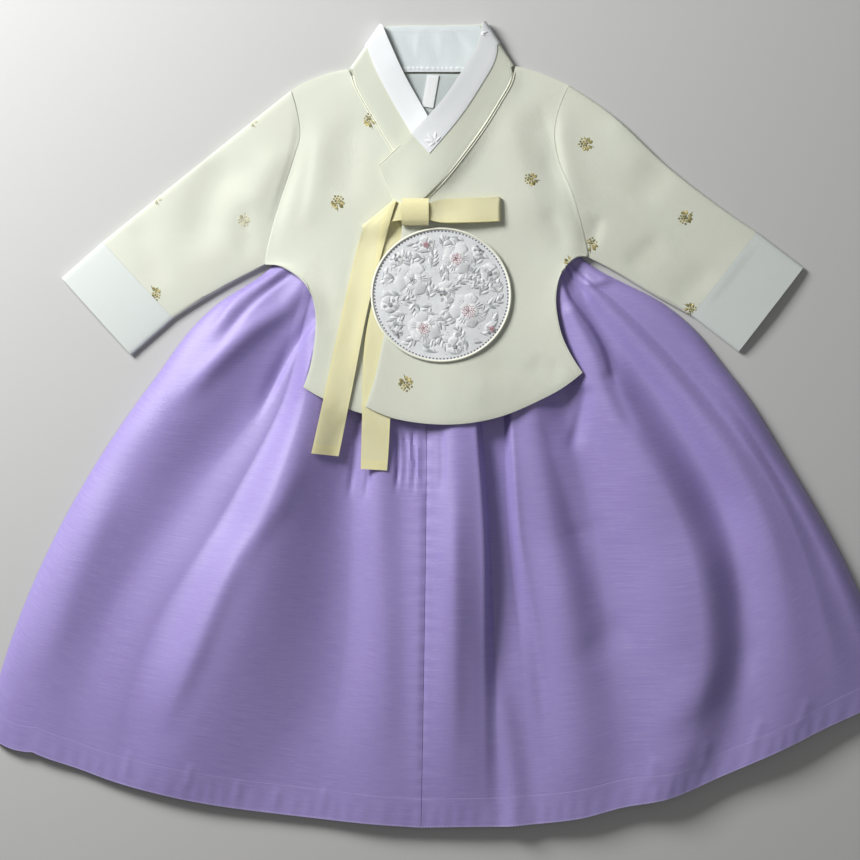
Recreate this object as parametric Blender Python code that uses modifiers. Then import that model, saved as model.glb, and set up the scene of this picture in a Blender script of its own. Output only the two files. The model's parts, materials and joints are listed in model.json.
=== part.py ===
"""A small child's hanbok, a curved-hem jacket over a gathered skirt, laid out flat.

Tables and sizes are in millimetres, and MM turns them into Blender's metres. +X is to the
right, +Y towards the collar, and +Z up from the surface that the outfit lies on. The origin is
the middle of its outline, at that surface. Each piece of cloth is a grid of points, its own
inner or outer face, which a Solidify modifier makes into a wall. A piece that lies on others
is draped: its points are laid just above whatever is already in the heap below them.
"""
import math

import bpy
import numpy as np
from mathutils import Vector
from mathutils.bvhtree import BVHTree

MM = 0.001

# Cloth walls and the gaps between pieces
JACKET_CLOTH = 1.2
LINING_CLOTH = 1.0
SKIRT_CLOTH = 1.5
SKIRT_BACK_CLOTH = 1.2
RIBBON_CLOTH = 1.0
STRIP_CLOTH = 1.0
BADGE_CLOTH = 1.4
SEAM = 0.3
EDGE_SEAM = 0.5
LOFT = 1.4

# How each kind of piece lies on the heap
DRAPING = {
    # kind: how far to each side it feels what is under it, rounds in which its slack is taken up
    "skirt back": (38.0, 0),
    "jacket front": (14.0, 12),
    "collar": (9.0, 2),
    "lining": (1.0, 0),
    "short tail": (14.0, 6),
    "long tail": (7.0, 3),
    "tail's start": (7.0, 1),
    "loop": (8.0, 2),
    "badge": (7.0, 0),
}

# Jacket: where its two sides run, from shoulder to hem corner. Rows 0 to 5 are the armhole,
# and the rest is the notch that curves in and back out to the hem's corner.
JACKET_SIDES = (
    # left x, left y, right x, right y
    (-138.9, 306.4, 116.6, 311.0),
    (-130.6, 269.6, 104.0, 273.2),
    (-135.7, 246.6, 107.6, 242.0),
    (-150.0, 201.5, 121.4, 207.9),
    (-161.0, 161.0, 132.5, 165.6),
    (-161.5, 146.0, 131.8, 153.9),
    (-145.4, 144.9, 120.5, 152.4),
    (-127.9, 133.4, 109.9, 139.8),
    (-119.1, 116.8, 104.9, 122.4),
    (-115.5, 93.8, 104.9, 103.0),
    (-118.7, 60.7, 111.3, 76.4),
    (-126.7, 33.5, 128.2, 46.9),
)
UNDERARM_ROW = 5
HEM_ROW = 11
LEFT_SHOULDER = ((-138.9, 306.4), (-120.5, 316.5), (-102.1, 322.9), (-85.5, 326.2))
RIGHT_SHOULDER = ((66.7, 328.9), (82.8, 324.8), (100.3, 318.3), (116.6, 311.0))
BACK_NECK = ((-60.0, 323.2), (-9.2, 322.4), (41.0, 323.2))
BACK_HEM = ((-126.7, 33.5), (-85.6, 13.8), (-45.1, 2.8), (-0.9, -0.5), (49.2, 5.5), (86.2, 20.2),
            (128.2, 46.9))
INNER_HEM = ((-126.7, 33.5), (-108.8, 23.2), (-86.5, 13.8), (-71.8, 9.2), (-20.2, 2.8), (23.9, 2.8))
OUTER_HEM = ((-69.9, 16.0), (-45.1, 5.5), (-20.6, 0.9), (8.3, -0.5), (49.2, 5.5), (86.2, 20.2),
             (110.9, 33.5), (128.2, 46.9))
# The fronts' free edges below the collar, in rows that pair with JACKET_SIDES.
INNER_FREE_EDGE = ((-1.8, 185.8), (3.7, 171.1), (8.3, 155.5), (12.9, 132.5), (17.5, 91.1), (21.2, 49.7),
                   (23.9, 2.8))
OUTER_FREE_EDGE = ((-37.7, 169.3), (-44.2, 127.9), (-52.4, 86.0), (-59.8, 48.8), (-69.9, 16.0))

# Collar: one band, from its hidden end on the inner front, round the back of the neck, to its
# tip on the outer front. Each row crosses the band from the neck's edge to the seam.
INNER_BAND = (
    # neck edge x, y, seam x, y, least height of the band's underside
    (9.2, 242.9, -20.2, 215.3, 3.0),
    (-12.9, 282.7, -45.1, 253.4, 3.0),
    (-33.1, 318.3, -65.7, 288.0, 3.4),
    (-46.0, 345.9, -77.4, 309.1, 4.4),
    (-54.0, 365.2, -82.0, 325.0, 5.2),
)
BACK_BAND = (
    (-54.0, 365.2, -82.0, 325.0, 0.0),
    (-33.1, 366.4, -46.0, 323.8, 0.0),
    (-9.2, 366.3, -9.2, 323.3, 0.0),
    (14.7, 366.9, 27.6, 323.8, 0.0),
    (36.4, 367.3, 63.2, 327.4, 0.0),
)
OUTER_BAND = (
    (36.4, 367.3, 63.2, 327.4, 5.2),
    (32.2, 347.8, 62.2, 315.0, 4.8),
    (18.8, 324.9, 51.7, 296.2, 4.4),
    (-0.9, 296.2, 34.0, 268.0, 4.4),
    (-28.1, 266.2, 5.0, 229.6, 4.4),
    (-42.3, 252.5, -16.4, 207.0, 4.4),
    (-58.6, 237.5, -37.3, 186.8, 4.4),
)
BAND_ACROSS = (0.0, 0.26, 0.52, 0.76, 1.0)
FACING_ENDS = (0.1, 3.9)
FACING_INSET = 0.02
FACING_GRID = (9, 4)
STRIP_COLUMNS = 3
STRIP_LAST_ROW = 4

# Sleeves: their upper and lower edges from armhole to cuff seam, then the cuff's outer edge.
LEFT_SLEEVE = {
    "upper": ((-138.9, 306.4), (-225.0, 237.5), (-311.9, 167.4)),
    "lower": ((-161.5, 146.0), (-200.6, 125.1), (-246.6, 96.6)),
    "cuff": ((-349.6, 134.3), (-285.2, 62.9)),
}
RIGHT_SLEEVE = {
    "upper": ((116.6, 311.0), (150.0, 288.9), (209.8, 234.6), (288.9, 176.6)),
    "lower": ((131.8, 153.9), (158.8, 139.8), (188.6, 121.9), (229.1, 99.4)),
    "cuff": ((332.1, 143.9), (272.3, 66.2)),
}
SLEEVE_STATIONS = 8
CUFF_STATIONS = 3
# A flat tube's section: a round edge at each side, by the angle round it, and a full upper face
TUBE_EDGE = 2.1
EDGE_ANGLES = (-90.0, -40.0, 0.0, 40.0, 90.0)
FULLNESS = 0.6
# Height of a sleeve's upper face above the table, along the sleeve
SHOULDER_HEIGHT = 4.2
UNDERARM_HEIGHT = 6.0
ELBOW_HEIGHT = 6.0
CUFF_HEIGHT = 6.2

# Skirt: fold lines from the waistband to the hem, at the table's lengths. y runs evenly from
# WAIST_Y to the fold's own hem y. Heights are of the cloth's underside.
WAIST_Y = 160.1
LENGTHS = (0.0, 0.035, 0.12, 0.28, 0.48, 0.72, 1.0)
LEFT_FOLDS = (
    # name, hem y, cells after it, x at each length, height at each length
    ("side", -276.0, 4,
     (-148, -155, -207.5, -265.4, -324.5, -377.8, -417), (2.2, 1, 0, 0, 0, 0, 0)),
    ("ridge", -301.0, 4,
     (-142, -148, -176, -234, -290, -341, -376), (3.4, 3.6, 11.5, 18.5, 15.5, 12.5, 6.6)),
    ("valley", -317.0, 3,
     (-118, -122, -135, -161, -236, -306, -332), (3.4, 3.9, 5, 5.2, 8.5, 8, 5)),
    ("shelf", -328.5, 4,
     (-110, -114, -125, -146, -197, -268, -300), (3.8, 4.6, 6.6, 7.2, 13, 11, 6)),
    ("ridge", -341.5, 6,
     (-92, -98, -114, -125, -157, -197, -250), (4.6, 6.2, 12, 21, 31.5, 29, 8)),
    ("valley", -360.6, 4,
     (-66, -67.7, -71.8, -79.1, -85, -92, -125), (3.6, 4.4, 6.2, 6.8, 6.8, 6.4, 6.2)),
    ("ridge", -367.1, 2,
     (-43, -44.4, -47.8, -53.4, -54, -50, -60), (4.4, 5.3, 8.2, 13.8, 16.5, 16, 9.9)),
    ("valley", -368.9, 2,
     (-29, -29.9, -32.2, -35.9, -36, -34, -34), (3.6, 4.4, 6.2, 9.5, 15, 14.8, 9)),
    ("seam", -369.8, 0,
     (-12.2, -12.5, -13.1, -14, -14.9, -16.8, -19.5), (4.2, 5.2, 7.5, 11.5, 17, 16.5, 9)),
)
RIGHT_FOLDS = (
    ("seam", -369.8, 3,
     (-11.8, -12.1, -12.7, -13.6, -14.5, -16.4, -19.1), (4.2, 5.2, 7.5, 11.5, 17, 16.5, 9)),
    ("ridge", -368.9, 2,
     (9, 9.3, 10.1, 12.9, 14.7, 15.6, 18.4), (4.6, 6, 10.5, 18.8, 27, 25, 11)),
    ("pleat lip", -368.9, 2,
     (25, 25.5, 26.7, 29.4, 36.8, 38, 39), (4, 5.3, 9.4, 18.1, 23.6, 19, 11)),
    ("pleat floor", -368.9, 2,
     (36, 35, 34.5, 35.5, 43, 48.5, 53), (3.4, 3.7, 4.3, 4.2, 4.2, 5, 9.5)),
    ("pleat floor", -366.9, 2,
     (50, 51.2, 54.1, 57, 60.5, 73, 79), (3.6, 4, 4.8, 4.6, 4.8, 5.6, 10)),
    ("pleat lip", -364.6, 2,
     (57, 58, 60.5, 64.2, 72, 92, 102), (4.2, 5.3, 8.8, 15, 19.6, 16.9, 12.7)),
    ("ridge", -361.0, 3,
     (72, 73.8, 78.1, 82.8, 98, 116, 127), (4.6, 6, 10.5, 18.1, 23.6, 21.6, 14.3)),
    ("valley", -351.4, 4,
     (86, 89.3, 97.2, 114.1, 138, 156.4, 163.8), (3.6, 4.4, 6.2, 6.4, 6.8, 8.9, 12.8)),
    ("ridge", -343.2, 3,
     (96, 103.1, 120.4, 156.4, 211.6, 237.4, 205), (4.6, 6.8, 13.2, 22.5, 29.7, 29.7, 16.5)),
    ("valley", -322.9, 3,
     (102, 113, 139.7, 196, 252.1, 276, 255), (3.6, 4.7, 7.1, 7.6, 7.6, 7.6, 12.3)),
    ("ridge", -299.9, 3,
     (107, 117, 154, 219, 281.5, 315.6, 307.3), (4.4, 6.3, 12.1, 19, 22.5, 21.5, 16)),
    ("gather", -276.0, 2,
     (111, 122, 165, 232, 296, 340, 356), (3.2, 3.8, 8.6, 14, 18.5, 18.5, 12.5)),
    ("ridge", -259.4, 4,
     (114, 128, 180, 246, 304, 358, 393.6), (3.4, 3.4, 8.5, 13, 15.5, 15.5, 9.5)),
    ("side", -248.4, 0,
     (118, 135, 200.5, 264, 317.3, 372.5, 417), (2.2, 1, 0, 0, 0, 0, 0)),
)
SKIRT_ROWS = 22
BACK_ROWS = 14
BACK_COLUMNS = 14
BACK_INSETS = (9.0, 10.0, 14.0, 6.0, 4.0, 4.0, 4.0)
BACK_HEM_LIFT = 8.0
BACK_LIFT_POWER = 4
WAISTBAND = ((-146.0, 160.8, 116.0, 160.8), (-138.0, 198.0, 108.0, 198.0))
WAISTBAND_HEIGHT = 3.4
WAISTBAND_ROWS = 6

# Lining seen inside the neck, and the plain label sewn on it
BACK_LINING = ((-50.0, 321.6, 33.0, 321.6), (-44.0, 296.0, 26.0, 296.0), (-32.0, 266.0, 8.0, 266.0))
LINING_GRID = (5, 6)
LABEL = ((-13.4, 321.2, -2.8, 320.4), (-18.6, 291.8, -8.2, 290.2))
LABEL_GRID = (4, 3)

# Ribbons: rows across each one, both ends of each
RIBBON_COLUMNS = 4
SHORT_TAIL_ROWS = 15
LONG_TAIL_COLUMNS = 6
LONG_TAIL_ROWS = 36
# Rows of the long tail before its fold, and how many of them are level with the knot
LONG_TAIL_START = (8, 5)
SHORT_TAIL = (
    (-52.0, 189.0, -28.0, 186.0),
    (-59.6, 134.0, -34.8, 131.0),
    (-70.8, 73.6, -46.0, 73.6),
    (-73.0, 9.2, -47.3, 8.6),
    (-74.3, -41.1, -50.3, -42.5),
)
LONG_TAIL_UNDER = ((-31.0, 186.4, -31.0, 201.2), (-45.0, 185.2, -37.0, 202.4), (-72.0, 179.6, -42.0, 203.6))
LONG_TAIL_OVER = (
    (-72.0, 179.6, -42.0, 203.6),
    (-80.5, 150.5, -53.4, 163.8),
    (-90.3, 106.4, -67.9, 106.0),
    (-105.0, 38.0, -81.0, 38.0),
    (-119.1, -26.9, -94.6, -29.5),
)
LOOP_NEAR = (-12.0, 181.8, 206.0)
LOOP_FAR = (50.6, 185.6, 207.8)
LOOP_STATIONS = (
    # share of the loop's length, how far each side is drawn in
    (0.0, 4.4),
    (0.085, 4.2),
    (0.25, 1.4),
    (0.45, 0.4),
    (0.65, 0.0),
    (0.85, 0.0),
    (1.0, 0.0),
)
# Rows of the loop, and how far its upper ply is above its lower one
LOOP_SWELL = ((0, 2.4), (1, 2.4), (4, 5.6), (6, 4.6))
LOOP_COLUMNS = 5
LOOP_ROWS_IN_KNOT = 2
KNOT = (-37.0, -12.3, 181.2, 206.4)
KNOT_HEIGHT = 7.0
KNOT_REACH = 3.0
KNOT_ROWS = 5
TUCK = 6.0
FOLD_STEPS = 5

# Round embroidered badge
BADGE_CENTRE = (-0.7, 117.9)
BADGE_RADII = (64.6, 62.0)
BADGE_RINGS = (0.25, 0.5, 0.75, 1.0)
BADGE_SPOKES = 32
BADGE_ROUNDS = 6

MATERIALS = {
    # name: (red, green, blue), roughness
    "jacket": ((0.72, 0.75, 0.62), 0.6),
    "cuff": ((0.74, 0.77, 0.72), 0.6),
    "strip": ((0.82, 0.85, 0.84), 0.5),
    "lining": ((0.6, 0.65, 0.65), 0.7),
    "label": ((0.85, 0.85, 0.85), 0.7),
    "ribbon": ((0.75, 0.72, 0.42), 0.55),
    "badge": ((0.68, 0.68, 0.7), 0.5),
    "skirt": ((0.36, 0.3, 0.62), 0.45),
}


def start_scene():
    for thing in list(bpy.data.objects):
        bpy.data.objects.remove(thing, do_unlink=True)
    outfit = bpy.data.collections.new("hanbok")
    bpy.context.scene.collection.children.link(outfit)
    return outfit


def make_material(name):
    colour, roughness = MATERIALS[name]
    found = bpy.data.materials.new(name)
    found.use_nodes = True
    shader = found.node_tree.nodes["Principled BSDF"]
    shader.inputs["Base Color"].default_value = (*colour, 1.0)
    shader.inputs["Roughness"].default_value = roughness
    return found


def smooth(knots, values, at):
    """Values at the places asked for, on a smooth curve through the knots' values."""
    knots = np.asarray(knots, float)
    values = np.asarray(values, float)
    at = np.clip(np.asarray(at, float), knots[0], knots[-1])
    slopes = np.gradient(values, knots, axis=0, edge_order=2 if len(knots) > 2 else 1)
    i = np.clip(np.searchsorted(knots, at, side="right") - 1, 0, len(knots) - 2)
    span = knots[i + 1] - knots[i]
    t = (at - knots[i]) / span
    shape = (len(t),) + (1,) * (values.ndim - 1)
    t = t.reshape(shape)
    span = span.reshape(shape)
    ease = t * t * (3 - 2 * t)
    lean = t * (1 - t)
    return (
        values[i] * (1 - ease)
        + values[i + 1] * ease
        + span * lean * ((1 - t) * slopes[i] - t * slopes[i + 1])
    )


def through(points, at, corner=None):
    """A smooth curve through rows of points, read at row numbers, with one sharp row if named."""
    points = np.asarray(points, float)
    at = np.asarray(at, float)
    rows = np.arange(len(points))
    if corner is None or not 0 < corner < len(points) - 1:
        return smooth(rows, points, at)
    above = smooth(rows[: corner + 1], points[: corner + 1], at)
    below = smooth(rows[corner:], points[corner:], at)
    return np.where((at <= corner)[:, None], above, below)


def along(points, shares):
    """A smooth curve through the points, read at shares of its length."""
    points = np.asarray(points, float)
    lengths = np.linalg.norm(np.diff(points, axis=0), axis=1)
    knots = np.concatenate([[0.0], np.cumsum(lengths)]) / lengths.sum()
    return smooth(knots, points, shares)


def mix(a, b, share):
    return a + (b - a) * share


def unit(direction):
    return direction / np.linalg.norm(direction)


EVENING = 0.7


def panel(left, right, top, hem, columns, corner=0):
    """Plan points of a piece cut with four edges: rows from top to hem, columns left to right.
    Above and below the row of the sides' corner, the rows are evenly spaced down the middle,
    however close they are at the sides."""
    u = np.linspace(0.0, 1.0, columns)[None, :, None]
    v = np.linspace(0.0, 1.0, len(left))[:, None, None]
    plan = mix(left[:, None], right[:, None], u)
    middle = (left[:, 1] + right[:, 1]) / 2
    evenly = np.interp(range(len(left)), (0, corner, len(left) - 1), middle[[0, corner, -1]])
    plan[..., 1] += (evenly - middle)[:, None] * np.sin(math.pi * u[..., 0]) ** EVENING
    for edge, weight in ((top, 1.0 - v), (hem, v)):
        if edge is not None:
            curve = along(edge, u.ravel())[None]
            plan = plan + weight * (curve - mix(curve[:, :1], curve[:, -1:], u))
    return plan


class Heap:
    """The pieces laid so far, asked for the height of their top under a place."""

    def __init__(self):
        self.trees = []

    def add(self, points, faces):
        self.trees.append(BVHTree.FromPolygons([Vector(p) for p in points], faces))

    def top(self, x, y):
        start = Vector((x, y, 1000.0))
        hits = [tree.ray_cast(start, Vector((0.0, 0.0, -1.0)))[0] for tree in self.trees]
        return max((hit.z for hit in hits if hit), default=-SEAM)

    def top_within(self, x, y, reach):
        places = [(x, y)]
        for ring in range(1, 5):
            for step in range(4 * ring):
                angle = math.tau * step / (4 * ring)
                away = reach * ring / 4
                places.append((x + away * math.cos(angle), y + away * math.sin(angle)))
        return max(self.top(*place) for place in places)

    def drape(self, kind, plan, least=0.0, held=None):
        """Lays a grid of plan points on the heap, its slack taken up between what lifts it.
        least is the lowest height of each point. The points in held stay at that height."""
        reach, rounds = DRAPING[kind]
        need = np.array([[self.top_within(x, y, reach) + SEAM for x, y in row] for row in plan])
        need = np.maximum(need, least)
        if held is not None:
            need = np.where(held, np.broadcast_to(least, need.shape), need)
        height = need.copy()
        for _ in range(rounds):
            wide = np.pad(height, 1, mode="edge")
            around = (wide[:-2, 1:-1] + wide[2:, 1:-1] + wide[1:-1, :-2] + wide[1:-1, 2:]) / 4
            height = np.maximum(need, around)
            if held is not None:
                height = np.where(held, need, height)
        return np.dstack([plan, height])


def quads(rows, columns, ring=False):
    """The faces of a grid of points. A ring joins its last column to its first."""
    faces = []
    for r in range(rows - 1):
        for c in range(columns if ring else columns - 1):
            d = (c + 1) % columns
            faces.append((r * columns + c, r * columns + d, (r + 1) * columns + d, (r + 1) * columns + c))
    return faces


class Outfit:
    """Makes the pieces and keeps the heap that later pieces lie on."""

    def __init__(self):
        self.collection = start_scene()
        self.materials = {name: make_material(name) for name in MATERIALS}
        self.heap = Heap()

    def sew(self, name, grid, cloth, material, ring=False, outward=1.0, flip=False):
        """Makes a wall of cloth from a grid of points and lays it on the heap."""
        rows, columns = grid.shape[:2]
        faces = quads(rows, columns, ring)
        if flip:
            faces = [face[::-1] for face in faces]
        self.add_piece(name, grid.reshape(-1, 3), faces, cloth, material, outward)

    def add_piece(self, name, points, faces, cloth, material, outward):
        mesh = bpy.data.meshes.new(name)
        mesh.from_pydata([tuple(p) for p in np.asarray(points) * MM], [], faces)
        mesh.materials.append(self.materials[material])
        mesh.shade_smooth()
        piece = bpy.data.objects.new(name, mesh)
        self.collection.objects.link(piece)
        wall = piece.modifiers.new("cloth", "SOLIDIFY")
        wall.thickness = cloth * MM
        wall.offset = outward
        wall.use_even_offset = True
        wall.use_quality_normals = True
        shading = piece.modifiers.new("flat rims", "WEIGHTED_NORMAL")
        shading.weight = 100
        shading.keep_sharp = True
        self.lay(piece)

    def lay(self, piece):
        bpy.context.view_layer.update()
        solid = piece.evaluated_get(bpy.context.evaluated_depsgraph_get()).to_mesh()
        points = [v.co / MM for v in solid.vertices]
        faces = [tuple(f.vertices) for f in solid.polygons]
        self.heap.add(points, faces)


def side_rows(first, last, step=0.5):
    return np.arange(first, last + step / 2, step)


def jacket_side(column, rows):
    table = np.array(JACKET_SIDES)[:, 2 * column : 2 * column + 2]
    return through(table, rows, UNDERARM_ROW)


def jacket_back(outfit):
    rows = np.concatenate([side_rows(0, UNDERARM_ROW), side_rows(UNDERARM_ROW + 1, HEM_ROW, 1.0)])
    top = LEFT_SHOULDER + BACK_NECK + RIGHT_SHOULDER
    plan = panel(jacket_side(0, rows), jacket_side(1, rows), top, BACK_HEM, 13, 2 * UNDERARM_ROW)
    grid = np.dstack([plan, np.zeros(plan.shape[:2])])
    outfit.sew("jacket_back", grid, JACKET_CLOTH, "jacket", flip=True)


def tube(outfit, name, upper, lower, material, height, base=0.0, middle_rows=None):
    """A flat tube of cloth, open at both ends. upper and lower are its two folded edges, one
    point for each station. middle_rows gives, for each station, the points between them."""
    leftwards = upper[-1][0] < upper[0][0]
    stations = []
    for s in range(len(upper)):
        a, b = upper[s], lower[s]
        between = middle_rows[s]
        down = unit(between[0] - a)
        up = unit(between[-1] - b)
        rise = height[s]
        loop = []
        for angle in EDGE_ANGLES:
            turn = math.radians(angle)
            inset = TUBE_EDGE * (1 - math.cos(turn))
            loop.append((*(a + down * inset), mix(0.0, 2 * TUBE_EDGE, (1 + math.sin(turn)) / 2)))
        for k, point in enumerate(between):
            share = (k + 1) / (len(between) + 1)
            crown = math.sin(math.pi * share) ** FULLNESS
            loop.append((*point, mix(2 * TUBE_EDGE, mix(*rise, share), crown)))
        for angle in EDGE_ANGLES[::-1]:
            turn = math.radians(angle)
            inset = TUBE_EDGE * (1 - math.cos(turn))
            loop.append((*(b + up * inset), mix(0.0, 2 * TUBE_EDGE, (1 + math.sin(turn)) / 2)))
        for point in between[::-1]:
            loop.append((*point, 0.0))
        stations.append(loop)
    grid = np.array(stations)
    grid[..., 2] += base
    outfit.sew(name, grid, JACKET_CLOTH, material, ring=True, outward=-1.0, flip=leftwards)


def sleeve(outfit, name, cuff_name, column, shape, away):
    """A sleeve and its cuff. column says which of the jacket's sides it is sewn to, and away is
    the direction, -1 or 1, in which it leaves the body."""
    armhole_rows = side_rows(0, UNDERARM_ROW)
    armhole = jacket_side(column, armhole_rows) + (away * EDGE_SEAM, 0.0)
    shares = np.linspace(0.0, 1.0, SLEEVE_STATIONS)
    upper = along(shape["upper"], shares) + (away * EDGE_SEAM, 0.0)
    lower = along(shape["lower"], shares) + (away * EDGE_SEAM, 0.0)
    seam_shares = np.linspace(0.0, 1.0, len(armhole))[:, None]
    seam = mix(upper[-1], lower[-1], seam_shares)
    middle = []
    for s, share in enumerate(shares):
        bend_upper = upper[s] - mix(armhole[0], seam[0], share)
        bend_lower = lower[s] - mix(armhole[-1], seam[-1], share)
        curve = mix(armhole, seam, share) + mix(bend_upper, bend_lower, seam_shares)
        middle.append(curve[1:-1])
    heights = [
        (mix(SHOULDER_HEIGHT, ELBOW_HEIGHT, min(1, 2 * share)), mix(UNDERARM_HEIGHT, ELBOW_HEIGHT, share))
        for share in shares
    ]
    tube(outfit, name, upper, lower, "jacket", heights, middle_rows=middle)
    outer = np.array(shape["cuff"])
    gap = unit(outer[0] - upper[-1]) * EDGE_SEAM
    shares = np.linspace(0.0, 1.0, CUFF_STATIONS)[:, None]
    upper = mix(upper[-1] + gap, outer[0], shares)
    lower = mix(lower[-1] + gap, outer[1], shares)
    middle = [mix(a, b, seam_shares)[1:-1] for a, b in zip(upper, lower)]
    heights = [(ELBOW_HEIGHT, ELBOW_HEIGHT)] + [(CUFF_HEIGHT, CUFF_HEIGHT)] * (CUFF_STATIONS - 1)
    tube(outfit, cuff_name, upper, lower, "cuff", heights, middle_rows=middle)


def skirt_lines(folds, lengths):
    """Each fold's points (x, y, height) at the lengths asked for."""
    lines = []
    for _, hem_y, _, xs, heights in folds:
        x = smooth(LENGTHS, xs, lengths)
        z = np.maximum(smooth(LENGTHS, heights, lengths), 0.0)
        y = mix(WAIST_Y, hem_y, np.asarray(lengths))
        lines.append(np.stack([x, y, z], axis=1))
    return lines


def between_folds(folds, lines):
    """The columns of a skirt panel: round over each fold, upright where a side meets the
    table, and rounded at the hem's corners."""
    columns = [lines[0]]
    for i in range(len(folds) - 1):
        cells = folds[i][2]
        for k in range(1, cells + 1):
            share = k / cells
            shares = np.array((share, share, share * share * (3 - 2 * share)))
            turn = share * math.pi / 2
            if folds[i][0] == "side":
                shares = np.array((1 - math.cos(turn), math.sin(turn), math.sin(turn)))
            if folds[i + 1][0] == "side":
                shares = np.array((math.sin(turn), 1 - math.cos(turn), 1 - math.cos(turn)))
            columns.append(mix(lines[i], lines[i + 1], shares))
    return np.stack(columns, axis=1)


def skirt_back(outfit):
    lengths = np.linspace(0.0, 1.0, BACK_ROWS)
    inset = np.stack([smooth(LENGTHS, BACK_INSETS, lengths), lengths * 0.0], axis=1)
    left = skirt_lines(LEFT_FOLDS[:1], lengths)[0][:, :2] + inset
    right = skirt_lines(RIGHT_FOLDS[-1:], lengths)[0][:, :2] - inset
    hem = [(fold[3][-1], fold[1]) for fold in LEFT_FOLDS[2::2] + RIGHT_FOLDS[1:-1:2]]
    hem = [tuple(left[-1]), *hem, tuple(right[-1])]
    plan = panel(left, right, None, hem, BACK_COLUMNS)
    plan[..., 1] += BACK_HEM_LIFT * lengths[:, None] ** BACK_LIFT_POWER
    grid = outfit.heap.drape("skirt back", plan)
    outfit.sew("skirt_back", grid, SKIRT_BACK_CLOTH, "skirt", flip=True)


def skirt_front(outfit, name, folds):
    lengths = np.linspace(0.0, 1.0, SKIRT_ROWS)
    grid = between_folds(folds, skirt_lines(folds, lengths))
    outfit.sew(name, grid, SKIRT_CLOTH, "skirt", flip=True)


def waistband(outfit):
    table = np.array(WAISTBAND)
    upper, lower = table[:, :2], table[:, 2:]
    inner = np.linspace(0.0, 1.0, WAISTBAND_ROWS)[1:-1, None]
    middle = [mix(a, b, inner) for a, b in zip(upper, lower)]
    base = JACKET_CLOTH + SEAM
    heights = [(WAISTBAND_HEIGHT, WAISTBAND_HEIGHT)] * len(table)
    tube(outfit, "waistband", upper, lower, "skirt", heights, base, middle)


def front(outfit, name, left, right, top, hem, columns, armhole_column):
    """A jacket front, held low where the shoulder and the armhole are sewn."""
    plan = panel(left, right, top, hem, columns, 2 * UNDERARM_ROW)
    rows = len(left)
    least = np.full((rows, columns), JACKET_CLOTH + LOFT)
    held = np.zeros((rows, columns), bool)
    sewn = 2 * UNDERARM_ROW + 1
    least[:sewn, armhole_column] = np.linspace(SHOULDER_HEIGHT, UNDERARM_HEIGHT, sewn) - JACKET_CLOTH - SEAM
    held[:sewn, armhole_column] = True
    least[0] = JACKET_CLOTH + SEAM
    held[0] = True
    grid = outfit.heap.drape("jacket front", plan, least, held)
    outfit.sew(name, grid, JACKET_CLOTH, "jacket", flip=True)


def front_inner(outfit):
    rows = side_rows(0, HEM_ROW)
    left = jacket_side(0, rows)
    seam = [row[2:4] for row in INNER_BAND[::-1]]
    seam[0] = LEFT_SHOULDER[-1]
    right = through(np.array(seam + list(INNER_FREE_EDGE)), rows)
    right[:9, 0] -= EDGE_SEAM
    front(outfit, "front_inner", left, right, LEFT_SHOULDER, INNER_HEM, 9, 0)


def front_outer(outfit):
    rows = side_rows(0, HEM_ROW)
    seam = [row[2:4] for row in OUTER_BAND]
    seam[0] = RIGHT_SHOULDER[0]
    left = through(np.array(seam + list(OUTER_FREE_EDGE)), rows, len(seam) - 1)
    left[:13, 0] += EDGE_SEAM
    front(outfit, "front_outer", left, jacket_side(1, rows), RIGHT_SHOULDER, OUTER_HEM, 13, -1)


LEFTWARDS = (-1.0, 0.0)
RIGHTWARDS = (1.0, 0.0)


def half_turn(line, low, high, away):
    """Rows of a fold: the cloth turns over about a line from height low to height high."""
    ends = np.array([line[0], line[-1]])
    across = ends[1] - ends[0]
    out = np.array([across[1], -across[0]]) / np.linalg.norm(across)
    out = out if np.dot(out, away) > 0 else -out
    rows = []
    for step in range(1, FOLD_STEPS):
        turn = math.pi * step / FOLD_STEPS
        radius = (high - low) / 2
        rows.append(np.column_stack([line + out * np.mean(radius) * math.sin(turn),
                                     low + radius * (1 - math.cos(turn))]))
    return rows


def band_plan(table, rows):
    """Plan points of a band: one row for each place along it, and a column for each of
    BAND_ACROSS."""
    table = through(np.array(table)[:, :4], rows)
    across = np.array(BAND_ACROSS)[None, :, None]
    return mix(table[:, None, :2], table[:, None, 2:], across)


def band_least(table, rows):
    return through(np.array(table)[:, 4:], rows)


def grid_normals(grid):
    """Unit normals of a grid of points: up, where its rows run down the plan from left to right."""
    down = np.gradient(grid, axis=0)
    across = np.gradient(grid, axis=1)
    normals = np.cross(down, across)
    return normals / np.linalg.norm(normals, axis=2, keepdims=True)


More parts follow.
